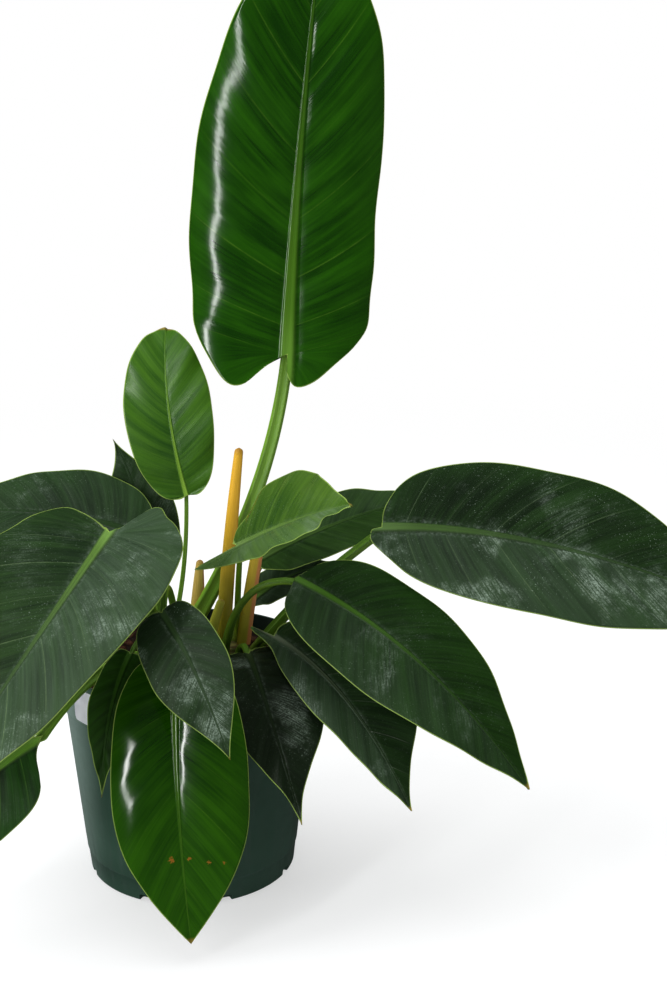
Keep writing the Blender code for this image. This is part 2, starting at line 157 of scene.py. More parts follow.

# How a blade looks: dark and light are its greens, rib its midrib's colour, vein how clear its side
# veins are, dust how much whitish residue it carries, rough its roughness where it is clean, quilt how
# far it swells between its side veins and wave how far its margin sways, both in metres, shine its
# specular level, film how far a grey film, partly dust and partly painted sheen, greys it, side the half
# that this film and the residue keep to (0 is both), and ridge how strong its fine ridges are.
Look = namedtuple("Look", "dark light rib vein dust rough quilt wave shine film side ridge")
OLD = Look((0.002, 0.009, 0.001), (0.010, 0.034, 0.004), (0.075, 0.150, 0.020), 0.45,
           0.45, 0.46, 0.0007, 0.0010, 0.22, 0.35, 0, 0.25)
YOUNG = Look((0.003, 0.026, 0.0003), (0.014, 0.072, 0.0008), (0.065, 0.145, 0.012), 0.40,
             0.0, 0.17, 0.0008, 0.0015, 0.5, 0.0, 0, 0.11)
LOOKS = {
    "tall": YOUNG,
    "young_left": YOUNG._replace(
        dark=(0.010, 0.056, 0.001), light=(0.048, 0.135, 0.004), rib=(0.17, 0.30, 0.03), dust=0.10,
        rough=0.34, quilt=0.0003, film=0.12, side=-1, vein=0.15),
    # young_centre's heavy one-sided film is mostly painted sheen, for its whitish gloss.
    "young_centre": YOUNG._replace(
        dark=(0.014, 0.050, 0.003), light=(0.070, 0.140, 0.014), rib=(0.11, 0.18, 0.05), dust=0.5,
        rough=0.28, quilt=0.0004, film=0.9, side=1, vein=0.20),
    "hanging": YOUNG._replace(
        dark=(0.004, 0.030, 0.0002), light=(0.020, 0.082, 0.0006), rough=0.15, quilt=0.0003,
        wave=0.0005, vein=0.25, ridge=0.03),
    "rim_small": OLD._replace(
        dark=(0.005, 0.024, 0.0006), light=(0.016, 0.062, 0.002), rib=(0.030, 0.085, 0.006),
        dust=0.05, film=0.0, vein=0.2),
    # low_left's blade and midrib are painted lighter, to lift the shade they lie in.
    "low_left": OLD._replace(light=(0.020, 0.080, 0.008), rib=(0.13, 0.27, 0.03), dust=0.2, film=0.1),
    "back_right": OLD._replace(
        dark=(0.004, 0.018, 0.001), light=(0.022, 0.062, 0.006), rib=(0.040, 0.085, 0.012),
        dust=0.25, film=0.4, side=-1, vein=0.25),
    "back_low": OLD._replace(dust=0.6, film=0.9),
    "front_left": OLD._replace(
        dark=(0.003, 0.012, 0.002), light=(0.014, 0.040, 0.006), rib=(0.085, 0.160, 0.028),
        dust=0.8, film=1.0, side=-1, vein=0.28),
    "front_dusty": OLD._replace(rib=(0.030, 0.062, 0.018), dust=1.6, film=0.5),
    "hanging_dark": OLD._replace(
        dark=(0.002, 0.005, 0.001), light=(0.005, 0.014, 0.003), rib=(0.012, 0.026, 0.006),
        dust=0.7, film=0.12, vein=0.25),
    "narrow": OLD._replace(rib=(0.075, 0.095, 0.060), dust=0.9, film=0.8, side=1),
    "right_high": OLD._replace(rib=(0.055, 0.110, 0.022), dust=1.3, film=0.7, side=1, vein=0.35),
    "back_left": OLD._replace(rib=(0.016, 0.036, 0.010), dust=0.7, film=0.45),
    "back_pointed": OLD._replace(rib=(0.012, 0.032, 0.008)),
    "right_low": OLD._replace(
        dark=(0.002, 0.011, 0.0005), light=(0.008, 0.034, 0.001), rib=(0.040, 0.105, 0.006),
        dust=0.5, film=0.45, side=1, vein=0.12),
}
# Small brown marks: where they lie along the midrib and across the half, and their radius in metres.
MARKS = {
    "hanging": ((0.735, 0.16, 0.0019), (0.735, -0.10, 0.0013), (0.75, -0.36, 0.0013),
                (0.755, -0.56, 0.0011)),
    "back_right": ((0.30, -0.25, 0.0011),),
}

# Margins that outline()'s rule is too plain for, by leaf and side (-1 is the left): points from the
# base round to the tip, as shares of the leaf's length and of its half width.
MARGINS = {
    ("tall", -1): (
        (0, 0), (-0.035, 0.20), (-0.085, 0.40), (-0.080, 0.56), (-0.015, 0.73), (0.07, 0.88),
        (0.20, 0.98), (0.36, 1.0), (0.52, 0.97), (0.68, 0.86), (0.84, 0.62), (0.95, 0.30), (1, 0)),
    ("tall", 1): (
        (0, 0), (-0.050, 0.01), (-0.085, 0.12), (-0.070, 0.32), (-0.020, 0.56), (0.035, 0.80),
        (0.10, 0.96), (0.20, 0.95), (0.34, 0.955), (0.50, 0.99), (0.68, 0.93), (0.84, 0.68),
        (0.95, 0.33), (1, 0)),
    ("front_left", -1): (
        (0, 0), (-0.06, 0.09), (-0.14, 0.17), (-0.20, 0.26), (-0.21, 0.37), (-0.16, 0.48),
        (-0.12, 0.62), (-0.04, 0.77), (0.07, 0.87), (0.23, 0.91), (0.36, 0.88), (0.48, 0.81),
        (0.62, 0.71), (0.76, 0.56), (0.89, 0.34), (0.96, 0.16), (1, 0)),
    ("front_left", 1): (
        (0, 0), (-0.02, 0.10), (-0.06, 0.32), (-0.07, 0.52), (0.02, 0.72), (0.12, 0.84),
        (0.27, 0.98), (0.42, 1.0), (0.56, 0.93), (0.70, 0.77), (0.84, 0.52), (0.94, 0.24), (1, 0)),
    ("young_centre", -1): (
        (0, 0), (-0.02, 0.06), (-0.03, 0.16), (-0.01, 0.30), (0.03, 0.47), (0.08, 0.65),
        (0.15, 0.82), (0.24, 0.94), (0.35, 1.0), (0.48, 0.96), (0.60, 0.81), (0.71, 0.59),
        (0.82, 0.34), (0.92, 0.13), (1, 0)),
    ("young_centre", 1): (
        (0, 0), (-0.10, 0.01), (-0.21, 0.015), (-0.30, 0.08), (-0.33, 0.22), (-0.29, 0.40),
        (-0.18, 0.60), (-0.02, 0.79), (0.15, 0.93), (0.34, 1.0), (0.54, 0.88), (0.74, 0.60),
        (0.89, 0.28), (1, 0)),
    ("narrow", 1): (
        (0, 0), (-0.07, 0.03), (-0.135, 0.09), (-0.11, 0.18), (-0.03, 0.28), (0.07, 0.50),
        (0.18, 0.78), (0.32, 0.97), (0.48, 1.0), (0.64, 0.86), (0.80, 0.58), (0.92, 0.28), (1, 0)),
    ("right_high", 1): (
        (0, 0), (-0.030, 0.03), (-0.035, 0.16), (-0.010, 0.32), (0.04, 0.52), (0.11, 0.72),
        (0.21, 0.88), (0.34, 0.97), (0.50, 1.0), (0.68, 0.93), (0.84, 0.68), (0.95, 0.35), (1, 0)),
}
# Halves that turn in another way: a share of the fold, and the gain and power of the curl.
SECTIONS = {
    ("tall", 1): (0.25, 1.5, 2.0),
    ("tall", -1): (1.0, 1.9, 2.4),
    ("hanging", 1): (1.0, 0.76, 1.2),
    ("hanging", -1): (0.75, 1.2, 2.0),
}
# The shader colours that the blades share.
# The film's grey stands for a dull dust film and for painted sheen.
FILM_AND_SHEEN_GREY = (0.085, 0.125, 0.085)
RESIDUE = (0.26, 0.33, 0.27)
BROWN_MARK = (0.20, 0.085, 0.010)
PALE_MARGIN = (0.24, 0.34, 0.075)
DRY_TIP = (0.22, 0.15, 0.03)
UNDERSIDE = ((0.030, 0.095, 0.018), (0.060, 0.150, 0.030))
# Whether a stalk is one of the pale ones: its material's name, and its pale, deep and edge colours.
PETIOLE_COLOURS = {
    True: ("petiole_young", (0.150, 0.280, 0.030), (0.090, 0.200, 0.016), (0.200, 0.380, 0.010)),
    False: ("petiole_old", (0.095, 0.190, 0.016), (0.042, 0.108, 0.007), (0.140, 0.250, 0.016)),
}
# The sheaths' materials, as sheath_material() takes them.
SHEATH_COLOURS = {
    "tall": ("sheath_amber", (0.34, 0.32, 0.02), (0.62, 0.36, 0.018), (0.50, 0.25, 0.02)),
    "right": ("sheath_yellow", (0.34, 0.32, 0.02), (0.58, 0.42, 0.04), (0.60, 0.20, 0.08), 0.0),
    "short": ("sheath_green", (0.24, 0.28, 0.02), (0.42, 0.42, 0.04), (0.50, 0.36, 0.06)),
    "left": ("sheath_pale", (0.40, 0.36, 0.04), (0.56, 0.40, 0.10), (0.62, 0.24, 0.14), 0.45),
}
SHEATH_SIDE = (0.94, 0.34, 0.0)

# How the side veins run: how far they lean forward at the midrib, how much more towards the tip, how
# far they bow, and how they crowd at the blade's base.
VEIN_LEAN = 0.25
VEIN_LEAN_GAIN = 1.3
VEIN_BOW = 0.35
VEIN_CROWDING = 1.2
CROWDED_LENGTH = 0.08
# The grid of a blade: rows that fan round its base, columns over the midrib and over the field.
FAN_ROWS = 24
FAN_VEINS = 2.0
RIB_COLUMNS = np.array((0.0, 0.35, 0.7, 0.92, 1.08, 1.5))
FIELD_COLUMNS = 26

# What lies on the mix, and how bright the room is as a light and as the leaves mirror it.
CHIPS = 520
PERLITE_SHARE = 0.13
ROOM_LIGHT = 0.45
ROOM_MIRRORED = 0.06
CAMERA_PITCH = 16.29


# ---------------------------------------------------------------- shapes of the leaves

def quadratic(start, bend, end, share):
    rest = 1 - share
    return rest * rest * start + 2 * rest * share * bend + share * share * end


def cubic(p0, p1, p2, p3, share):
    rest = 1 - share
    return (rest**3 * p0 + 3 * rest * rest * share * p1
            + 3 * rest * share * share * p2 + share**3 * p3)


def column(values):
    return np.asarray(values, float)[..., None]


def outline(leaf, share, sign):
    """Where one side's margin runs, for an array of shares: (way along the midrib, half width)."""
    if (leaf.name, sign) in MARGINS:
        return spline(MARGINS[leaf.name, sign], share)
    share = column(share)
    belly = np.array((leaf.belly, 1.0))
    back = np.array((-2.6 * leaf.lobe, 0.30))
    shoulder = np.array((-0.4 * leaf.lobe, 1.0))
    ahead = np.array((leaf.belly + 0.45 * (1 - leaf.belly), 1.0))
    neck = np.array((1 - 0.30 * leaf.point, 0.58 - 0.50 * leaf.point))
    near = cubic(np.zeros(2), back, shoulder, belly, np.clip(share / 0.45, 0, 1))
    far = cubic(belly, ahead, neck, np.array((1.0, 0.0)), np.clip((share - 0.45) / 0.55, 0, 1))
    found = np.where(share < 0.45, near, far)
    return found[..., 0], found[..., 1]


def spline(points, share):
    """A smooth curve through the points, at an array of shares of its way."""
    points = np.array(points, float)
    tangent = np.gradient(points, axis=0)
    place = np.clip(np.asarray(share, float), 0, 1) * (len(points) - 1)
    index = np.minimum(place.astype(int), len(points) - 2)
    t = (place - index)[..., None]
    p0, p1, m0, m1 = points[index], points[index + 1], tangent[index], tangent[index + 1]
    found = ((2 * t**3 - 3 * t**2 + 1) * p0 + (t**3 - 2 * t**2 + t) * m0
             + (3 * t**2 - 2 * t**3) * p1 + (t**3 - t**2) * m1)
    return found[..., 0], np.maximum(found[..., 1], 0)


def normalized(vectors):
    return vectors / np.maximum(np.linalg.norm(vectors, axis=-1, keepdims=True), 1e-12)


def blade_frame(leaf, way):
    """The midrib's points, and the leaf's right-hand side and upper side there."""
    base, bend, tip = (np.array(p) for p in (leaf.base, leaf.bend, leaf.tip))
    along = normalized(tip - base)
    side = normalized(np.cross(along, np.array(leaf.face)))
    way = column(way)
    inside = np.maximum(way, 0)
    heading = normalized((1 - inside) * (bend - base) + inside * (tip - bend))
    point = quadratic(base, bend, tip, inside) + np.minimum(way, 0) * 2 * (bend - base)
    side = normalized(side - (side * heading).sum(-1, keepdims=True) * heading)
    return point, side, np.cross(side, heading)


def spread(leaf, lateral):
    """How far a side vein has run forward at a lateral distance from the midrib, as two lengths."""
    mean = (leaf.left + leaf.right) / 2
    return lateral * mean * (1 + VEIN_BOW * lateral)


def length_of(leaf):
    return (Vector(leaf.tip) - Vector(leaf.base)).length


def vein_root(leaf, way, lateral):
    """The place on the midrib, as a share, that the side vein through a point starts from."""
    run = spread(leaf, lateral) / length_of(leaf)
    return (way - VEIN_LEAN * run) / (1 + VEIN_LEAN_GAIN * run)


def vein_phase(root, veins):
    """Counts the side veins: a whole number on each one. They stand closer near the base."""
    return veins * root + VEIN_CROWDING * root / (CROWDED_LENGTH + np.abs(root))


def rib_half_width(leaf, way):
    return leaf.stalk * (0.15 + 0.80 * np.clip(1 - way, 0, 1) ** 1.5)


def grid_phases(veins, per_vein):
    """The vein phases of the grid's rows: a fan round the base, then rows along the veins."""
    last = vein_phase(1.0, veins)
    fan = np.linspace(-FAN_VEINS, 0, FAN_ROWS, endpoint=False)
    return np.concatenate([fan, np.arange(0, last, 1 / per_vein), [last]])


def grid_rows(leaf, sign, phases, veins):
    """The share of one side's margin at which each row ends."""
    share = np.linspace(0, 1, 4000)
    way, lateral = outline(leaf, share, sign)
    root = vein_root(leaf, way, lateral)
    first = np.nonzero(root < 0)[0][-1] + 1 if (root < 0).any() else 1
    fan = np.linspace(0, share[first], FAN_ROWS, endpoint=False)
    phase = np.maximum.accumulate(vein_phase(root[first:], veins) + share[first:] * 1e-6)
    return np.concatenate([fan, np.interp(phases[FAN_ROWS:], phase, share[first:])])


def smoothstep(low, high, value):
    share = np.clip((value - low) / (high - low), 0, 1)
    return share * share * (3 - 2 * share)


def seed_of(name):
    return sum(ord(letter) * (i + 7) for i, letter in enumerate(name))


def curled(leaf, lateral, half, sign):
    """The cross-section: how far out and up a point lies, and how far the surface has turned."""
    steps = np.linspace(0, 1.3, 400)
    flatter, bowed, power = SECTIONS.get((leaf.name, sign), (1.0, 1.5, 2.0))
    turns = math.radians(leaf.fold) * flatter + math.radians(leaf.curl) * bowed * steps**power
    width = steps[1] * half
    out = np.concatenate([[0], np.cumsum((np.cos(turns[1:]) + np.cos(turns[:-1])) / 2)]) * width
    rise = np.concatenate([[0], np.cumsum((np.sin(turns[1:]) + np.sin(turns[:-1])) / 2)]) * width
    return (np.interp(lateral, steps, out), np.interp(lateral, steps, rise),
            np.interp(lateral, steps, turns))


def blade_half(leaf, rows, phase, sign):
    """One half of the blade, from the midrib to the margin: its points and what the shader reads."""
    half = leaf.right if sign > 0 else leaf.left
    end_way, end_lateral = outline(leaf, rows, sign)
    root = np.maximum(vein_root(leaf, end_way, end_lateral), 0)
    rib = rib_half_width(leaf, root)
    width = end_lateral * half
    rib_part = np.minimum(RIB_COLUMNS[None] * rib[:, None],
                          width[:, None] * np.linspace(0, 0.4, len(RIB_COLUMNS)))
    share = np.linspace(0, 1, FIELD_COLUMNS + 1)[1:] ** 0.95
    start = rib_part[:, -1:]
    field_part = start + (width[:, None] - start) * share
    distance = np.concatenate([rib_part, field_part], axis=1)
    lateral = distance / half
    reach = distance / np.maximum(width[:, None], 1e-9)
    run = spread(leaf, lateral) / length_of(leaf)
    end_run = spread(leaf, end_lateral) / length_of(leaf)
    lean = VEIN_LEAN + VEIN_LEAN_GAIN * root
    short = end_way - (root + lean * end_run)
    way = root[:, None] + lean[:, None] * run + short[:, None] * reach**1.3
    point, side, up = blade_frame(leaf, way)
    outward, upward, turn = curled(leaf, lateral, half, sign)
    point = point + side * (outward * sign)[..., None] + up * upward[..., None]
    normal = up * np.cos(turn)[..., None] - side * (np.sin(turn) * sign)[..., None]
    fields = {"phase": np.broadcast_to(phase[:, None], distance.shape).copy(),
              "way": way, "reach": reach * sign, "distance": distance,
              "rib": distance / rib[:, None]}
    return point, normal, fields


def relief(leaf, look, fields, sign, rng):
    """How far the upper side stands above the plain surface, in metres."""
    u = fields["rib"]
    rib = fields["distance"] / np.maximum(u, 1e-6)
    size = rib_half_width(leaf, np.clip(fields["way"], 0, 1))
    crown = size * (0.16 + 0.10 * u * u) * (1 - smoothstep(0.80, 1.02, u))
    crease = -size * 0.14 * smoothstep(0.80, 1.05, u) * (1 - smoothstep(1.05, 2.2, u))
    gap = np.abs(fields["phase"] - np.round(fields["phase"]))
    reach = np.abs(fields["reach"])
    envelope = smoothstep(1.0, 4.0, u) * (1 - reach**5)
    swell = look.quilt * ((2 * gap) ** 0.65 - 0.5) * envelope
    minor = look.quilt * 0.16 * np.cos(fields["phase"] * 3 * math.tau) * envelope
    sway = look.wave * reach**2 * (
        np.sin(fields["phase"] * 2.1 + rng.uniform(0, 6.3))
        + 0.6 * np.sin(fields["phase"] * 4.3 + rng.uniform(0, 6.3)))
    return crown + crease + swell + minor + sway


def margin_distance(points, margin):
    """Each point's distance to the margin, in millimetres."""
    flat = points.reshape(-1, 3)
    ends = np.concatenate([margin, (margin[1:] + margin[:-1]) / 2])
    nearest = np.full(len(flat), 1.0)
    for i in range(0, len(flat), 2000):
        gap = flat[i:i + 2000, None] - ends[None]
        nearest[i:i + 2000] = np.sqrt((gap * gap).sum(-1)).min(-1)
    return nearest.reshape(points.shape[:-1]) * 1000


def blade_mesh(leaf, look, veins=6, per_vein=12):
    """The blade as one closed mesh with an upper and an under side, and its shader attributes."""
    rng = random.Random(seed_of(leaf.name))
    phase = grid_phases(veins, per_vein)
    halves = []
    for sign in (-1, 1):
        rows = grid_rows(leaf, sign, phase, veins)
        point, normal, fields = blade_half(leaf, rows, phase, sign)
        lift = relief(leaf, look, fields, sign, rng)
        halves.append((point, normal, fields, lift))
    (lp, ln, lf, ll), (rp, rn, rf, rl) = halves
    middle = (ln[:, :1] + rn[:, :1]) / 2
    joined = {key: np.concatenate([lf[key][:, :0:-1], rf[key]], axis=1) for key in lf}
    point = np.concatenate([lp[:, :0:-1], rp], axis=1)
    normal = normalized(np.concatenate([ln[:, :0:-1], middle, rn[:, 1:]], axis=1))
    lift = np.concatenate([ll[:, :0:-1], (ll[:, :1] + rl[:, :1]) / 2, rl[:, 1:]], axis=1)
    edge = np.abs(joined["reach"])
    thick = BLADE_THICKNESS * (0.9 - 0.5 * edge**3)
    keel = rib_half_width(leaf, np.clip(joined["way"], 0, 1))
    keel = keel * 1.15 * np.sqrt(np.clip(1 - joined["rib"] ** 2, 0, 1))
    top = point + normal * (lift + thick / 2)[..., None]
    under = point + normal * (lift * (joined["rib"] > 1.2) - thick / 2 - keel)[..., None]
    margin = np.concatenate([point[:, 0], point[::-1, -1]])
    joined["edge"] = margin_distance(point, margin)
    return closed_sheet(f"blade_{leaf.name}", top, under, joined)


def closed_sheet(name, top, under, fields):
    """A mesh of two sheets joined round their margin, with the fields as point attributes."""
    rows, columns = top.shape[:2]
    count = rows * columns
    index = np.arange(count).reshape(rows, columns)
    a, b = index[:-1, :-1], index[:-1, 1:]
    c, d = index[1:, 1:], index[1:, :-1]
    upper = np.stack([a, b, c, d], -1).reshape(-1, 4)
    faces = [upper, upper[:, ::-1] + count]
    for edge in (index[:, 0], index[::-1, -1], index[0, ::-1], index[-1]):
        here, there = edge[:-1], edge[1:]
        faces.append(np.stack([here, there, there + count, here + count], -1))
    mesh = bpy.data.meshes.new(name)
    points = np.concatenate([top.reshape(-1, 3), under.reshape(-1, 3)])
    mesh.from_pydata(points.tolist(), [], np.concatenate(faces).tolist())
    for key, values in fields.items():
        write_field(mesh, key, np.tile(values.reshape(-1), 2))
    write_field(mesh, "upper", np.repeat((1.0, 0.0), count))
    return clean(mesh)


def clean(mesh):
    """Welds what lies together, drops empty faces and turns the faces outward."""
    bm = bmesh.new()
    bm.from_mesh(mesh)
    bmesh.ops.remove_doubles(bm, verts=bm.verts, dist=0.00001)
    bmesh.ops.dissolve_degenerate(bm, edges=bm.edges, dist=0.000005)
    bmesh.ops.recalc_face_normals(bm, faces=bm.faces)
    bm.to_mesh(mesh)
    bm.free()
    mesh.shade_smooth()
    return mesh


# ---------------------------------------------------------------- pieces

def add_object(name, data):
    made = bpy.data.objects.new(name, data)
    bpy.context.scene.collection.objects.link(made)
    return made


def mesh_of(bm, name):
    mesh = bpy.data.meshes.new(name)
    bm.to_mesh(mesh)
    bm.free()
    return mesh


def write_field(mesh, key, values):
    """Gives each point a value that a material reads."""
    made = mesh.attributes.new(key, "FLOAT", "POINT")
    made.data.foreach_set("value", values.astype(np.float32))


def piece(name, mesh, finish):
    """Adds a piece that rides on the frame and stands for the CAD node of its name."""
    mesh.materials.clear()
    mesh.materials.append(finish)
    made = add_object(f"{name}_look", mesh)
    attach(made, "root")
    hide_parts(name)


# ---------------------------------------------------------------- materials

class Nodes:
    """Builds a material's node tree with short calls."""

    def __init__(self, name):
        self.material = bpy.data.materials.new(name)
        self.material.use_nodes = True
        self.tree = self.material.node_tree
        self.shader = self.tree.nodes["Principled BSDF"]

    def put(self, socket, value):
        if isinstance(value, bpy.types.NodeSocket):
            self.tree.links.new(value, socket)
        elif isinstance(value, tuple) and len(value) == 3 and socket.type == "RGBA":
            socket.default_value = (*value, 1)
        else:
            socket.default_value = value

    def node(self, kind, **settings):
        made = self.tree.nodes.new(kind)
        for key, value in settings.items():
            setattr(made, key, value)
        return made

    def read(self, name):
        return self.node("ShaderNodeAttribute", attribute_name=name).outputs["Fac"]

    def place(self):
        return self.node("ShaderNodeTexCoord").outputs["Object"]

    def math(self, operation, a, b=0.0, clamp=False):
        made = self.node("ShaderNodeMath", operation=operation, use_clamp=clamp)
        self.put(made.inputs[0], a)
        self.put(made.inputs[1], b)
        return made.outputs[0]

    def times(self, first, *others):
        for other in others:
            first = self.math("MULTIPLY", first, other)
        return first

    def plus(self, first, *others):
        for other in others:
            first = self.math("ADD", first, other)
        return first

    def without(self, value):
        return self.math("SUBTRACT", 1.0, value)

    def step(self, low, high, value, bottom=0.0, top=1.0):
        """A smooth step of value from low to high."""
        made = self.node("ShaderNodeMapRange", interpolation_type="SMOOTHSTEP")
        for key, what in (("Value", value), ("From Min", low), ("From Max", high),
                          ("To Min", bottom), ("To Max", top)):
            self.put(made.inputs[key], what)
        return made.outputs["Result"]

    def noise(self, scale, detail=3.0, rough=0.5, where=None):
        made = self.node("ShaderNodeTexNoise")
        self.put(made.inputs["Vector"], where or self.place())
        self.put(made.inputs["Scale"], scale)
        self.put(made.inputs["Detail"], detail)
        self.put(made.inputs["Roughness"], rough)
        return made.outputs["Fac"]

    def vector(self, x, y, z=0.0):
        made = self.node("ShaderNodeCombineXYZ")
        for socket, value in zip(made.inputs, (x, y, z)):
            self.put(socket, value)
        return made.outputs[0]

    def drawn(self, across, along, detail=3.0, rough=0.6, layer=0.0):
        """Drawn-out noise: across and along are each a value and its scale."""
        where = self.vector(self.times(*across), self.times(*along), layer)
        return self.noise(1.0, detail, rough, where)

    def mix(self, share, a, b):
        made = self.node("ShaderNodeMix", data_type="RGBA")
        self.put(made.inputs[0], share)
        self.put(made.inputs[6], a)
        self.put(made.inputs[7], b)
        return made.outputs[2]

    def bump(self, height, strength, distance, onto=None):
        made = self.node("ShaderNodeBump")
        self.put(made.inputs["Strength"], strength)
        self.put(made.inputs["Distance"], distance)
        self.put(made.inputs["Height"], height)
        if onto:
            self.put(made.inputs["Normal"], onto)
        return made.outputs["Normal"]

    def finish(self, **sockets):
        for key, value in sockets.items():
            self.put(self.shader.inputs[key.replace("_", " ")], value)
        return self.material


def side_veins(n, look, phase, edge, rib, side, shift):
    """Thin pale lines, some stronger than others, that break up and fade out."""
    number = n.math("ROUND", phase)
    gap = n.math("ABSOLUTE", n.math("SUBTRACT", phase, number))
    which = n.drawn((number, 5.3), (side,), 0.0, 0.5, shift)
    return n.times(n.without(n.step(0.003, 0.020, gap)), n.step(0.40, 0.60, which, 0.25, 1.0),
                   n.step(0.30, 0.62, n.noise(140.0, 3.0, 0.7), 0.35, 1.0), n.step(0.9, 1.3, rib),
                   n.step(0.5, 14.0, edge, 0.2 * look.vein, look.vein))


def leaf_material(leaf, look):
    n = Nodes(f"blade_{leaf.name}")
    phase, edge, rib = n.read("phase"), n.read("edge"), n.read("rib")
    distance, upper, way = n.read("distance"), n.read("upper"), n.read("way")
    reach = n.read("reach")
    shift = float(seed_of(leaf.name) % 97)
    side = n.times(n.math("SIGN", reach), 4.0)
    line = side_veins(n, look, phase, edge, rib, side, shift)

    def veinwise(across, along, detail=3.0, rough=0.6, more=0.0):
        """Noise drawn out along the side veins."""
        layer = n.plus(side, shift + more)
        return n.drawn((phase, across), (distance, along), detail, rough, layer)

    def mostly_one_side(value, rest):
        """The value, less on the half that the film, its painted sheen and the residue spare."""
        if not look.side:
            return value
        return n.times(value, n.step(-0.15, 0.15, n.times(reach, look.side), rest, 1.0))

    streaks = veinwise(3.0, 14.0, 4.0)
    ribbing = veinwise(17.0, 22.0, 2.0, 0.5, 9.0)
    cloud = n.noise(18.0)
    shade = n.plus(n.times(streaks, 0.50), n.times(cloud, 0.35), n.times(ribbing, 0.25))
    colour = n.mix(n.step(0.40, 0.72, shade), look.dark, look.light)
    colour = n.mix(n.step(0.0, 22.0, edge, 0.35, 0.0), colour, look.light)
    # A dull film of dust greys the leaf, and painted sheen greys one half more than the other, as a
    # reflection would.
    film = n.step(0.25, 0.75, veinwise(5.0, 30.0, 4.0, 0.65, 21.0), 0.55, 1.0)
    film = mostly_one_side(n.times(film, n.step(0.3, 0.75, ribbing, 0.75, 1.0)), 0.18)
    colour = n.mix(n.times(film, upper, look.film, 0.42), colour, FILM_AND_SHEEN_GREY)
    colour = n.mix(line, colour, tuple(a + 0.08 * look.film for a in look.rib))
    # The midrib: broad and pale at its base, darker and softer towards the tip.
    strand = n.drawn((distance, 2600.0), (way,), 2.0, 0.5, shift)
    rib_dark = tuple(0.55 * a + 0.45 * b for a, b in zip(look.rib, look.light))
    rib_colour = n.mix(n.step(0.35, 0.7, strand), rib_dark, look.rib)
    rib_base = tuple(1.25 * a + 0.01 for a in look.rib)
    rib_colour = n.mix(n.step(0.0, 0.14, way, 0.8, 0.0), rib_colour, rib_base)
    on_rib = n.without(n.step(0.45, 1.20, rib))
    fade = n.step(0.02, 0.70, way, 1.0, 0.40 if leaf.name in YOUNG_LEAVES else 0.22)
    colour = n.mix(n.times(on_rib, fade), colour, rib_colour)
    # Whitish residue: worn patches with a grain along the ribbing, and fine specks.
    speck = n.noise(1100.0, 1.0)
    grain = veinwise(26.0, 110.0, 3.0, 0.6, 33.0)
    powder = n.times(n.step(0.50, 0.70, n.noise(30.0, 5.0, 0.62)), n.step(0.38, 0.62, grain, 0.1, 1.0),
                     n.step(0.38, 0.62, speck, 0.35, 1.0))
    powder = mostly_one_side(powder, 0.25)
    fleck = n.times(n.step(0.66, 0.74, speck), n.step(0.45, 0.7, n.noise(40.0), 0.1, 0.6))
    beside = n.times(n.step(0.8, 1.1, rib), n.step(2.6, 1.1, rib),
                     n.step(0.40, 0.75, n.noise(420.0, 4.0, 0.7), 0.0, 0.30))
    powder = n.times(n.plus(powder, n.plus(fleck, beside)), look.dust)
    powder = n.times(n.math("MULTIPLY", powder, upper, clamp=True), n.step(0.7, 1.2, rib, 0.15, 1.0))
    colour = n.mix(n.times(powder, 0.62), colour, RESIDUE)
    for place, across, radius in MARKS.get(leaf.name, ()):
        colour = n.mix(mark_on(n, leaf, place, across, radius), colour, BROWN_MARK)
    # The margin is a thin pale line, and the tip is dry.
    colour = n.mix(n.times(n.without(n.step(0.25, 0.75, edge)), 0.8), colour, PALE_MARGIN)
    colour = n.mix(n.step(0.978, 0.992, way, 0.0, 0.8), colour, DRY_TIP)
    # The under side is paler and duller.
    below = n.mix(n.step(0.3, 0.7, streaks), *UNDERSIDE)
    below = n.mix(n.times(on_rib, 0.9), below, look.rib)
    below = n.mix(n.times(line, 0.8), below, look.rib)
    rough = n.plus(n.times(powder, 0.30), look.rough, n.step(0.3, 0.8, cloud, -0.03, 0.05))
    fine = n.times(veinwise(26.0, 30.0, 3.0, 0.65, 9.0), n.step(1.0, 3.0, rib))
    normal = n.bump(n.noise(350.0, 3.0, 0.6), 0.10, 0.0002, n.bump(fine, look.ridge, 0.0010))
    return n.finish(Base_Color=n.mix(upper, below, colour), Roughness=rough, Normal=normal,
                    Specular_IOR_Level=look.shine)


def mark_on(n, leaf, place, across, radius):
    """A small ragged spot on the blade's upper side."""
    sign, half = (1, leaf.right) if across > 0 else (-1, leaf.left)
    point, side, up = blade_frame(leaf, np.array([place]))
    outward, upward, _ = curled(leaf, np.array([abs(across)]), half, sign)
    centre = point[0] + side[0] * sign * outward[0] + up[0] * upward[0]
    offset = n.node("ShaderNodeVectorMath", operation="DISTANCE")
    n.put(offset.inputs[0], n.place())
    offset.inputs[1].default_value = tuple(centre)
    ragged = n.step(0.3, 0.7, n.noise(900.0, 3.0, 0.6), 0.5 * radius, -0.5 * radius)
    return n.step(radius, radius * 0.5, n.math("ADD", offset.outputs["Value"], ragged))


def make_blades():
    for leaf in LEAVES:
        look = LOOKS.get(leaf.name, OLD)
        piece(f"blade_{leaf.name}", blade_mesh(leaf, look), leaf_material(leaf, look))


# ---------------------------------------------------------------- stalks, sheaths and stems

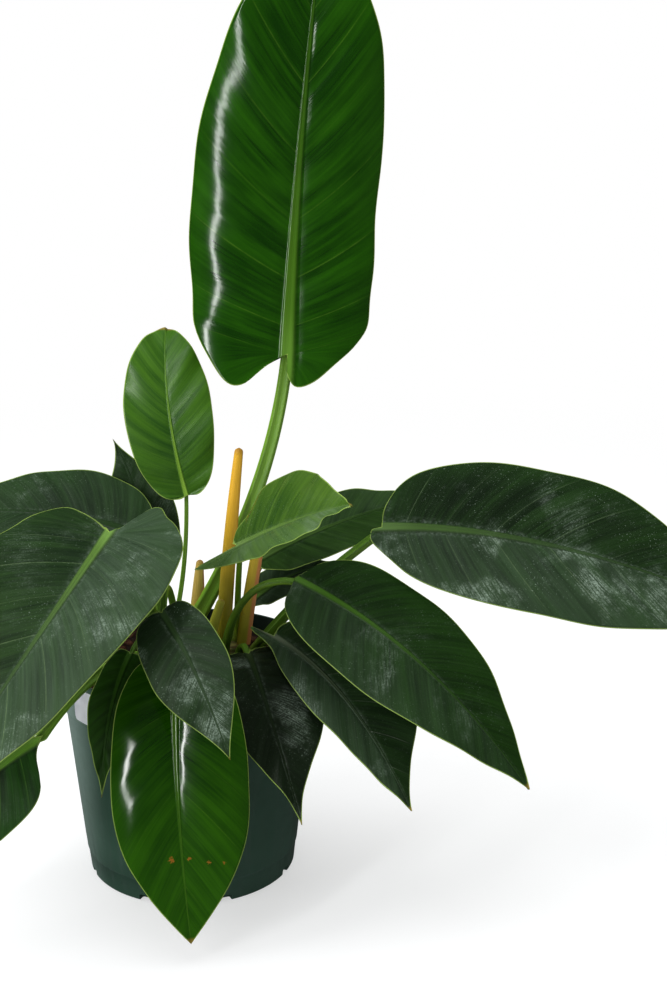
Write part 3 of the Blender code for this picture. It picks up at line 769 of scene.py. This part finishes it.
def swept_tube(name, centre, side, up, width, height, section):
    """A closed tube through centre points. section lists (across, up) as shares of each size."""
    ring = np.array(section)
    rows, count = len(centre), len(ring)
    across = ring[None, :, 0] * np.asarray(width)[:, None]
    rise = ring[None, :, 1] * np.asarray(height)[:, None]
    points = centre[:, None] + side[:, None] * across[..., None] + up[:, None] * rise[..., None]
    index = np.arange(rows * count).reshape(rows, count)
    after = np.roll(index, -1, 1)
    faces = np.stack([index[:-1], after[:-1], after[1:], index[1:]], -1).reshape(-1, 4).tolist()
    faces += [list(index[0])[::-1], list(index[-1])]
    mesh = bpy.data.meshes.new(name)
    mesh.from_pydata(points.reshape(-1, 3).tolist(), [], faces)
    write_field(mesh, "along", np.repeat(np.linspace(0, 1, rows), count))
    write_field(mesh, "around", np.tile(ring[:, 0], rows))
    write_field(mesh, "angle", np.tile(np.arange(count) / count, rows))
    return clean(mesh)


def grooved_section(depth, count=36):
    """A round section with a channel of a depth along its upper side."""
    found = []
    for i in range(count):
        x, y = math.cos(math.tau * i / count), math.sin(math.tau * i / count)
        if y > 0:
            y = 0.92 * (y - depth * max(0.0, 1 - (x / 0.62) ** 2))
        found.append((x, y))
    return found


def blunted(share, start, end, least):
    """How far a radius has come in at each share, as it rounds off from start to end."""
    past = (share - start) / (end - start) * (share > start)
    return np.sqrt(np.clip(1 - past**2, least, 1))


def petiole_root(leaf):
    x, y = SHOOTS[leaf.shoot]
    if isinstance(leaf.turn, tuple):
        return Vector((x + leaf.turn[0], y + leaf.turn[1], STEM_TOP + GAP + leaf.stalk / 2))
    angle = math.radians(leaf.turn)
    ring = Vector((math.cos(angle), math.sin(angle), 0)) * RING_RADIUS
    return Vector((x, y, ROOT_HEIGHT + leaf.stalk * 0.95)) + ring


def stalk_lines(root, rise, end, side, rows):
    """Centre points of a quadratic stalk, and its side and upper directions."""
    share = np.linspace(0, 1, rows)
    centre = quadratic(root, rise, end, share[:, None])
    heading = normalized((1 - share[:, None]) * (rise - root) + share[:, None] * (end - rise))
    side = normalized(side - (heading * side).sum(-1, keepdims=True) * heading)
    return share, centre, side, np.cross(side, heading)


def make_petioles(finishes):
    for leaf in LEAVES:
        finish = finishes[leaf.name in PALE_AND_BRIGHTENED_STALKS]
        point, side, up = blade_frame(leaf, np.array([0.0]))
        base, side, up = point[0], side[0], up[0]
        thin = leaf.stalk * PETIOLE_TIP_RADIUS_SHARE
        end = base - up * (thin + BLADE_THICKNESS / 2 + GAP)
        root, rise = np.array(petiole_root(leaf)), np.array(leaf.rise)
        share, centre, sides, ups = stalk_lines(root, rise, end, side, 64)
        radius = leaf.stalk + (thin - leaf.stalk) * share
        flare = 1 + 0.22 * np.exp(-share / 0.07)
        # The stalk runs on under the midrib, and thins out there.
        ahead, ahead_side, ahead_up = blade_frame(leaf, np.linspace(0.005, 0.09, 8))
        tail = thin * np.linspace(0.96, 0.45, 8)
        depth = thin * (1.05 - np.linspace(0, 0.5, 8))
        centre = np.concatenate([centre, ahead - ahead_up * depth[:, None]])
        sides = np.concatenate([sides, ahead_side])
        ups = np.concatenate([ups, ahead_up])
        width = np.concatenate([radius * flare, tail])
        height = np.concatenate([radius, tail])
        section = grooved_section(0.42 if leaf.stalk > 0.003 else 0.3)
        mesh = swept_tube(f"petiole_{leaf.name}", centre, sides, ups, width, height, section)
        piece(f"petiole_{leaf.name}", mesh, finish)


def petiole_material(name, pale, deep, edge):
    n = Nodes(name)
    along, around, angle = n.read("along"), n.read("around"), n.read("angle")
    strand = n.drawn((angle, 60.0), (along, 5.0))
    colour = n.mix(n.step(0.3, 0.7, strand), deep, pale)
    colour = n.mix(n.step(0.75, 1.0, n.math("ABSOLUTE", around), 0.0, 0.6), colour, edge)
    fleck = n.node("ShaderNodeTexVoronoi")
    n.put(fleck.inputs["Scale"], 420.0)
    n.put(fleck.inputs["Vector"], n.place())
    dots = n.without(n.step(0.10, 0.22, fleck.outputs["Distance"]))
    colour = n.mix(n.times(dots, 0.35), colour, (0.20, 0.33, 0.10))
    colour = n.mix(n.step(0.0, 0.16, along, 0.65, 0.0), colour, (0.16, 0.19, 0.03))
    normal = n.bump(n.noise(600.0), 0.15, 0.0002, n.bump(strand, 0.3, 0.0004))
    return n.finish(Base_Color=colour, Roughness=n.step(0.2, 0.8, n.noise(60.0), 0.32, 0.48),
                    Normal=normal)


def sheath_section(count=40):
    """A sheath folded round its keel: a flat wrapper with a channel in front."""
    found = []
    for i in range(count):
        angle = math.tau * i / count
        x, y = math.cos(angle), math.sin(angle)
        if y > 0:
            y = y * 0.62 - 0.55 * max(0.0, 1 - (x / 0.75) ** 2)
        found.append((x, y * 0.8))
    return found


def make_sheaths(finishes):
    for sheath in SHEATHS:
        root, rise, tip = (np.array(p) for p in (sheath.root, sheath.rise, sheath.tip))
        share, centre, sides, ups = stalk_lines(root, rise, tip, np.array(SHEATH_SIDE), 140)
        radius = sheath.thick + (sheath.thin - sheath.thick) * share**2
        radius = radius * blunted(share, 1 - sheath.thin / np.linalg.norm(tip - root), 1.0, 0.02)
        mesh = swept_tube(f"sheath_{sheath.name}", centre, sides, -ups, radius, radius * 0.9,
                          sheath_section())
        piece(f"sheath_{sheath.name}", mesh, finishes[sheath.name])


def sheath_material(name, low, high, flush, edge=0.55):
    """low and high are its colours at the foot and the tip; flush tints it from edge outward."""
    n = Nodes(name)
    along, around = n.read("along"), n.read("around")
    strand = n.drawn((n.read("angle"), 70.0), (along, 3.0))
    colour = n.mix(n.step(0.05, 0.75, along), low, high)
    colour = n.mix(n.step(0.35, 0.75, strand, 0.0, 0.35), colour, tuple(0.45 * c for c in high))
    colour = n.mix(n.step(edge, edge + 0.4, around, 0.0, 0.8), colour, flush)
    colour = n.mix(n.step(0.955, 1.0, along, 0.0, 0.6), colour, (0.16, 0.06, 0.02))
    spot = n.step(0.66, 0.74, n.noise(240.0, 4.0, 0.6), 0.0, 0.5)
    colour = n.mix(spot, colour, (0.20, 0.09, 0.02))
    return n.finish(Base_Color=colour, Roughness=n.step(0.2, 0.8, strand, 0.42, 0.60),
                    Normal=n.bump(strand, 0.5, 0.0004))


def make_stems(finish):
    """The shoots' short stems, ringed where old leaves have stood."""
    rows = 30
    share = np.linspace(0, 1, rows)
    radius = STEM_RADIUS * (1 - 0.1 * share) * (1 + 0.045 * np.sin(share * 3.2 * math.tau))
    radius = radius * blunted(share, 0.9, 1.01, 0.05)
    section = []
    for i in range(48):
        angle = math.tau * i / 48
        wavy = 1 + 0.03 * math.sin(5 * angle)
        section.append((math.cos(angle) * wavy, math.sin(angle) * wavy))
    side = np.tile(np.array((1.0, 0, 0)), (rows, 1))
    up = np.tile(np.array((0, 1.0, 0)), (rows, 1))
    for key, (x, y) in SHOOTS.items():
        height = ROOT_HEIGHT + share * (STEM_TOP - ROOT_HEIGHT)
        centre = np.stack([np.full(rows, x), np.full(rows, y), height], -1)
        mesh = swept_tube(f"stem_{key}", centre, side, up, radius, radius, section)
        piece(f"stem_{key}", mesh, finish)


def stem_material():
    n = Nodes("stem")
    bark = n.noise(160.0, 5.0, 0.65)
    colour = n.mix(n.step(0.3, 0.7, bark), (0.055, 0.075, 0.015), (0.20, 0.19, 0.05))
    ring = n.math("SINE", n.math("MULTIPLY", n.read("along"), 40.0))
    colour = n.mix(n.step(0.6, 1.0, ring, 0.0, 0.7), colour, (0.07, 0.035, 0.012))
    return n.finish(Base_Color=colour, Roughness=0.6, Normal=n.bump(bark, 0.5, 0.0008))


# ---------------------------------------------------------------- pot, potting mix and label

def wall_radius(height):
    share = height / (POT_HEIGHT - BAND_HEIGHT)
    return BASE_RADIUS + share * (NECK_RADIUS - BASE_RADIUS)


def band_radius(height):
    share = (height - POT_HEIGHT + BAND_HEIGHT) / BAND_HEIGHT
    return BAND_FOOT_RADIUS + share * (RIM_RADIUS - BAND_FOOT_RADIUS)


def arc(centre, radius, first, last, count=6):
    """Points on a circle in the profile plane, between two angles in degrees."""
    angles = (math.radians(first + (last - first) * i / (count - 1)) for i in range(count))
    return [(centre[0] + radius * math.cos(a), centre[1] + radius * math.sin(a)) for a in angles]


def pot_profile():
    """(radius, height) down the inside of the pot, over the rim and down its outer side."""
    neck = POT_HEIGHT - BAND_HEIGHT
    lip = POT_WALL / 2
    top = POT_HEIGHT - lip
    step = wall_radius(STEP_HEIGHT)
    inner = [(0, POT_FLOOR), (0.030, POT_FLOOR)]
    inner += arc((wall_radius(0.006) - POT_WALL - 0.003, POT_FLOOR + 0.003), 0.003, -90, 0)
    inner += [(wall_radius(h) - POT_WALL, h) for h in (0.02, 0.05, 0.08, 0.11)]
    inner += [(NECK_RADIUS - POT_WALL, neck), (BAND_FOOT_RADIUS - POT_WALL - 0.0003, neck + 0.0025),
              (BAND_FOOT_RADIUS - POT_WALL, neck + 0.004), (RIM_RADIUS - POT_WALL, top)]
    rim = arc((RIM_RADIUS - lip, top), lip, 180, 0, 9)
    band = [(band_radius(h), h) for h in (0.140, 0.132, 0.124, neck + 0.0016)]
    foot = arc((BAND_FOOT_RADIUS - 0.0006, neck + 0.0008), 0.0006, 0, -90, 5)
    wall = [(NECK_RADIUS + 0.0002, neck + 0.0001), (NECK_RADIUS - 0.0001, neck - 0.0006)]
    wall += [(wall_radius(h), h) for h in (0.10, 0.08, 0.06, 0.04, 0.025)]
    ledge = [(step, STEP_HEIGHT + 0.0010), (step - 0.0001, STEP_HEIGHT + 0.0006),
             (step - STEP_DEPTH, STEP_HEIGHT + 0.0002)]
    base = arc((BASE_RADIUS - STEP_DEPTH - 0.0015, 0.0015), 0.0015, 0, -90, 6)
    return inner + rim[1:] + band + foot + wall + ledge + base + [(0.030, 0), (0, 0)]


def turned_mesh(name, profile, steps):
    """A solid turned round Z from a profile that starts and ends on the axis."""
    angles = np.linspace(0, math.tau, steps, endpoint=False)
    ring = np.stack([np.cos(angles), np.sin(angles)], -1)
    points, faces, rows = [], [], []
    for radius, height in profile:
        if radius == 0:
            rows.append([len(points)])
            points.append((0, 0, height))
        else:
            rows.append(list(range(len(points), len(points) + steps)))
            points += [(x * radius, y * radius, height) for x, y in ring]
    for upper, lower in zip(rows, rows[1:]):
        for i in range(steps):
            j = (i + 1) % steps
            if len(upper) == 1:
                faces.append((upper[0], lower[i], lower[j]))
            elif len(lower) == 1:
                faces.append((upper[j], upper[i], lower[0]))
            else:
                faces.append((upper[i], lower[i], lower[j], upper[j]))
    mesh = bpy.data.meshes.new(name)
    mesh.from_pydata(points, [], faces)
    return clean(mesh)


def drain_cutter():
    """Eight rounded blocks that open the corner between the pot's wall and its floor."""
    bm = bmesh.new()
    for i in range(DRAIN_HOLES):
        block = bmesh.ops.create_cube(bm, size=1)["verts"]
        bmesh.ops.scale(bm, vec=DRAIN_SIZE, verts=block)
        bmesh.ops.translate(bm, vec=(BASE_RADIUS, 0, 0), verts=block)
        turn = Matrix.Rotation(math.tau * (i + 0.5) / DRAIN_HOLES, 3, "Z")
        bmesh.ops.rotate(bm, cent=(0, 0, 0), matrix=turn, verts=block)
    bmesh.ops.bevel(bm, geom=bm.edges[:], offset=0.0012, segments=3, affect="EDGES", profile=0.5)
    return add_object("drain_cutter", mesh_of(bm, "drain_cutter"))


def make_pot():
    carved = add_object("carved", turned_mesh("pot", pot_profile(), POT_STEPS))
    cutter = drain_cutter()
    boolean = carved.modifiers.new("drain", "BOOLEAN")
    boolean.operation, boolean.solver, boolean.object = "DIFFERENCE", "EXACT", cutter
    bpy.context.view_layer.update()
    graph = bpy.context.evaluated_depsgraph_get()
    shell = bpy.data.meshes.new_from_object(carved.evaluated_get(graph))
    for thing in (carved, cutter):
        bpy.data.objects.remove(thing)
    shell.name = "pot_shell"
    shell.shade_smooth()
    shell.set_sharp_from_angle(angle=math.radians(50))
    piece("pot", shell, pot_material())


def pot_material():
    n = Nodes("pot_green_plastic")
    split = n.node("ShaderNodeSeparateXYZ")
    n.put(split.inputs[0], n.place())
    x, y, height = split.outputs
    cloud = n.noise(22.0, 4.0, 0.55)
    colour = n.mix(n.step(0.3, 0.7, cloud), (0.022, 0.054, 0.036), (0.032, 0.072, 0.050))
    # Painted reflection: the left side is lightened towards grey, standing in for the white backdrop it
    # mirrors.
    colour = n.mix(n.step(-0.048, -0.081, x, 0.0, 0.75), colour, (0.25, 0.33, 0.30))
    # Inside the rim the wall is darkened almost to black: painted shade.
    radius = n.math("SQRT", n.plus(n.times(x, x), n.times(y, y)))
    inner = n.times(n.step(0.0813, 0.0810, radius), n.step(0.117, 0.119, height, 0.0, 0.85))
    colour = n.mix(inner, colour, (0.0030, 0.0040, 0.0030))
    # Dust that clings to the wall, thicker to the foot, with runs where water has gone.
    angle = n.math("ARCTAN2", y, x)
    runs = n.drawn((angle, 14.0), (height, 9.0), 4.0)
    grime = n.times(n.step(0.48, 0.80, runs), n.step(0.10, 0.0, height, 0.10, 0.5))
    colour = n.mix(grime, colour, (0.060, 0.085, 0.075))
    scuff = n.drawn((angle, 30.0), (height, 900.0), 5.0, 0.7)
    marks = n.times(n.step(0.64, 0.74, scuff), n.step(0.5, 0.7, n.noise(40.0), 0.0, 0.5))
    colour = n.mix(marks, colour, (0.075, 0.105, 0.095))
    # The moulded step is rubbed pale.
    worn = n.math("ABSOLUTE", n.math("SUBTRACT", height, STEP_HEIGHT + STEP_DEPTH))
    worn = n.times(n.without(n.step(0.0, 0.0008, worn)), n.step(0.35, 0.65, n.noise(70.0), 0.15, 0.75))
    colour = n.mix(worn, colour, (0.060, 0.095, 0.085))
    rough = n.plus(n.step(0.3, 0.7, n.noise(90.0, 5.0), 0.30, 0.42), n.times(grime, 0.4))
    rings = n.bump(n.math("SINE", n.times(height, 5200.0)), 0.05, 0.0001)
    normal = n.bump(n.noise(500.0, 3.0, 0.6), 0.12, 0.0003, rings)
    return n.finish(Base_Color=colour, Roughness=rough, Normal=normal, Specular_IOR_Level=0.35)


def soil_height(x, y):
    """The top of the potting mix, uneven by a few millimetres."""
    radius = math.hypot(x, y)
    rise = SOIL_RISE * max(0.0, 1 - (radius / 0.055) ** 2)
    bumps = noise.fractal(Vector((x, y, 0.3)) * 90, 1.0, 2.0, 4) * 0.0016
    return SOIL_HEIGHT + rise + bumps - 0.0006


def make_soil(finish):
    """The potting mix: the pot's inner shape with a rough top, bark chips and perlite on it."""
    inset = POT_WALL + GAP
    neck = POT_HEIGHT - BAND_HEIGHT
    top_radius = BAND_FOOT_RADIUS - inset
    rings = [(r / 40 * top_radius, SOIL_HEIGHT) for r in range(41)]
    profile = rings + [(top_radius, neck + 0.003), (NECK_RADIUS - inset, neck),
                       (wall_radius(SOIL_BEVEL) - inset, SOIL_BEVEL),
                       (wall_radius(0) - inset - SOIL_BEVEL, POT_FLOOR + GAP), (0, POT_FLOOR + GAP)]
    mesh = turned_mesh("potting_soil", profile, 144)
    for vert in mesh.vertices:
        if vert.co.z > SOIL_HEIGHT - 0.0001:
            vert.co.z = soil_height(vert.co.x, vert.co.y)
    write_field(mesh, "kind", np.zeros(len(mesh.vertices)))
    piece("potting_soil", mesh, finish)
    scatter(finish)


def chip(bm, rng, centre, size, kind, layer):
    """One broken piece of bark or perlite."""
    made = bmesh.ops.create_icosphere(bm, subdivisions=2, radius=1)["verts"]
    spin = Matrix.Rotation(rng.uniform(0, math.tau), 3, "Z")
    tilt = Matrix.Rotation(rng.uniform(-0.5, 0.5), 3, "X") @ Matrix.Rotation(rng.uniform(-0.5, 0.5), 3, "Y")
    phase = rng.uniform(0, 50)
    for vert in made:
        bump = 1 + 0.35 * noise.noise(vert.co * 1.7 + Vector((phase, 0, 0)))
        vert.co = spin @ tilt @ (vert.co * Vector(size) * bump) + centre
        vert[layer] = kind


def clear_of_stalks(x, y, margin):
    return all(math.hypot(x - sx, y - sy) >= RING_RADIUS + margin for sx, sy in SHOOTS.values())


def scatter(finish):
    """Bark chips, fine crumbs and perlite on the top of the mix, as one mesh of loose bits."""
    rng = random.Random(11)
    bm = bmesh.new()
    layer = bm.verts.layers.float.new("kind")
    for _ in range(CHIPS):
        radius, angle = 0.0765 * math.sqrt(rng.random()), rng.uniform(0, math.tau)
        x, y = radius * math.cos(angle), radius * math.sin(angle)
        pale = rng.random() < PERLITE_SHARE
        big = rng.random()
        length = rng.uniform(0.0012, 0.0022) if pale else 0.0011 + 0.0045 * big**3
        size = (length, length * rng.uniform(0.45, 0.8), length * rng.uniform(0.3, 0.55))
        if radius + length > 0.0785 or not clear_of_stalks(x, y, 0.0035 + length):
            continue
        centre = Vector((x, y, soil_height(x, y) + size[2] * 0.35))
        chip(bm, rng, centre, size, 1.0 if pale else 0.15 + 0.5 * rng.random(), layer)
    mesh = mesh_of(bm, "mix_chips")
    mesh.shade_smooth()
    mesh.materials.append(finish)
    made = add_object("mix_chips", mesh)
    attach(made, "root")


def soil_material():
    n = Nodes("potting_mix")
    kind = n.read("kind")
    grain = n.noise(700.0, 4.0, 0.7)
    coarse = n.noise(130.0, 4.0, 0.6)
    dark = n.mix(n.step(0.3, 0.7, coarse), (0.006, 0.0035, 0.003), (0.030, 0.014, 0.008))
    dark = n.mix(n.step(0.60, 0.72, grain, 0.0, 0.6), dark, (0.075, 0.035, 0.018))
    bark = n.mix(n.step(0.3, 0.7, grain), (0.020, 0.007, 0.004), (0.085, 0.032, 0.014))
    colour = n.mix(n.step(0.05, 0.15, kind), dark, bark)
    colour = n.mix(n.step(0.30, 0.65, kind, 0.0, 0.5), colour, (0.11, 0.055, 0.030))
    white = n.mix(n.step(0.3, 0.7, grain), (0.42, 0.38, 0.35), (0.72, 0.69, 0.66))
    colour = n.mix(n.step(0.75, 0.9, kind), colour, white)
    height = n.math("ADD", n.math("MULTIPLY", grain, 0.5), coarse)
    return n.finish(Base_Color=colour, Roughness=n.step(0.3, 0.7, grain, 0.75, 0.95),
                    Normal=n.bump(height, 0.9, 0.0015))


def make_label():
    """A thin blank sticker with rounded corners that follows the band."""
    bm = bmesh.new()
    columns, rows = 24, 16
    grid = []
    for i in range(columns + 1):
        x = LABEL_WIDTH * (i / columns - 0.5)
        into_corner = max(0.0, LABEL_CORNER - LABEL_WIDTH / 2 + abs(x))
        tall = LABEL_HEIGHT / 2 - LABEL_CORNER + math.sqrt(max(0.0, LABEL_CORNER**2 - into_corner**2))
        angle = math.radians(LABEL_ANGLE) + x / RIM_RADIUS
        line = []
        for j in range(rows + 1):
            z = LABEL_MIDDLE + tall * (2 * j / rows - 1)
            radius = band_radius(z) + LABEL_STANDOFF
            line.append(bm.verts.new((radius * math.cos(angle), radius * math.sin(angle), z)))
        grid.append(line)
    for a, b in zip(grid, grid[1:]):
        for j in range(rows):
            bm.faces.new((a[j], b[j], b[j + 1], a[j + 1]))
    bmesh.ops.solidify(bm, geom=bm.faces[:], thickness=-LABEL_THICKNESS)
    bmesh.ops.recalc_face_normals(bm, faces=bm.faces[:])
    mesh = mesh_of(bm, "pot_label")
    mesh.shade_smooth()
    mesh.set_sharp_from_angle(angle=math.radians(40))
    piece("pot_label", mesh, label_material())


def label_material():
    n = Nodes("blank_sticker")
    fibre = n.noise(900.0, 3.0, 0.6)
    colour = n.mix(n.step(0.3, 0.7, n.noise(120.0)), (0.74, 0.76, 0.80), (0.84, 0.85, 0.88))
    smudge = n.step(0.58, 0.75, n.noise(160.0, 4.0, 0.6), 0.0, 0.35)
    colour = n.mix(smudge, colour, (0.45, 0.46, 0.48))
    return n.finish(Base_Color=colour, Roughness=n.step(0.3, 0.7, fibre, 0.40, 0.55),
                    Normal=n.bump(fibre, 0.15, 0.0001))


# ---------------------------------------------------------------- the studio

def area_light(name, where, target, size, power, mirrored=True):
    data = bpy.data.lights.new(name, "AREA")
    data.shape = "RECTANGLE"
    data.size, data.size_y = size
    data.energy = power
    made = add_object(name, data)
    made.visible_camera = False
    made.visible_glossy = mirrored
    made.location = where
    made.rotation_euler = (Vector(target) - Vector(where)).to_track_quat("-Z", "Y").to_euler()


def make_floor():
    """A pale floor that partly glows, more so away from the pot: painted light that fades its shadows and
    brightens it into the white backdrop.
    """
    bm = bmesh.new()
    bmesh.ops.create_circle(bm, cap_ends=True, segments=128, radius=6)
    mesh = mesh_of(bm, "floor")
    n = Nodes("floor")
    length = n.node("ShaderNodeVectorMath", operation="LENGTH")
    n.put(length.inputs[0], n.place())
    n.finish(Base_Color=(0.88, 0.89, 0.90), Roughness=0.8)
    # Painted light: the floor glows at more than half strength near the pot and fully far off, lightening
    # the shadows on it.
    blend = n.node("ShaderNodeMixShader")
    n.put(blend.inputs[0], n.step(0.45, 1.5, length.outputs["Value"], 0.58, 1.0))
    n.put(blend.inputs[1], n.shader.outputs[0])
    n.put(blend.inputs[2], n.node("ShaderNodeEmission").outputs[0])
    output = next(node for node in n.tree.nodes if node.type == "OUTPUT_MATERIAL")
    n.put(output.inputs["Surface"], blend.outputs[0])
    mesh.materials.append(n.material)
    floor = add_object("floor", mesh)
    floor.location.z = -0.0004
    floor.visible_glossy = False


def make_studio():
    """White backdrop, soft light and the camera."""
    scene = bpy.context.scene
    scene.view_settings.view_transform = "Standard"
    scene.view_settings.gamma = 0.9
    scene.world = bpy.data.worlds.new("studio")
    scene.world.use_nodes = True
    tree = scene.world.node_tree
    background = tree.nodes["Background"]
    background.inputs["Color"].default_value = (1, 1, 1, 1)
    # The backdrop is white, and what the leaves mirror of the room is dimmer than what lights them.
    path = tree.nodes.new("ShaderNodeLightPath")
    steps = []
    for ray, seen in (("Is Camera Ray", 1.0), ("Is Glossy Ray", ROOM_MIRRORED)):
        step = tree.nodes.new("ShaderNodeMath")
        step.operation = "MULTIPLY_ADD"
        step.inputs[1].default_value = seen - ROOM_LIGHT
        step.inputs[2].default_value = ROOM_LIGHT
        tree.links.new(path.outputs[ray], step.inputs[0])
        steps.append(step)
    tree.links.new(steps[0].outputs[0], steps[1].inputs[2])
    tree.links.new(steps[1].outputs[0], background.inputs["Strength"])
    aim = (0.07, -0.03, 0.28)
    area_light("strip_front", (-0.72, -1.20, 0.80), aim, (0.12, 1.1), 11)
    area_light("softbox_left", (-1.3, -0.7, 0.9), aim, (0.6, 1.2), 14, mirrored=False)
    area_light("softbox_top", (0.0, 0.1, 1.9), (0.08, 0, 0), (2.2, 2.2), 44, mirrored=False)
    make_floor()
    data = bpy.data.cameras.new("camera")
    data.lens = 61.2
    data.sensor_width = 36
    camera = add_object("camera", data)
    camera.location = (0.0938, -1.0261, 0.547)
    camera.rotation_euler = (math.radians(90 - CAMERA_PITCH), 0, 0)
    scene.camera = camera


def main():
    make_studio()
    make_blades()
    make_petioles({pale: petiole_material(*colours) for pale, colours in PETIOLE_COLOURS.items()})
    make_sheaths({key: sheath_material(*colours) for key, colours in SHEATH_COLOURS.items()})
    make_stems(stem_material())
    make_pot()
    make_soil(soil_material())
    make_label()


main()
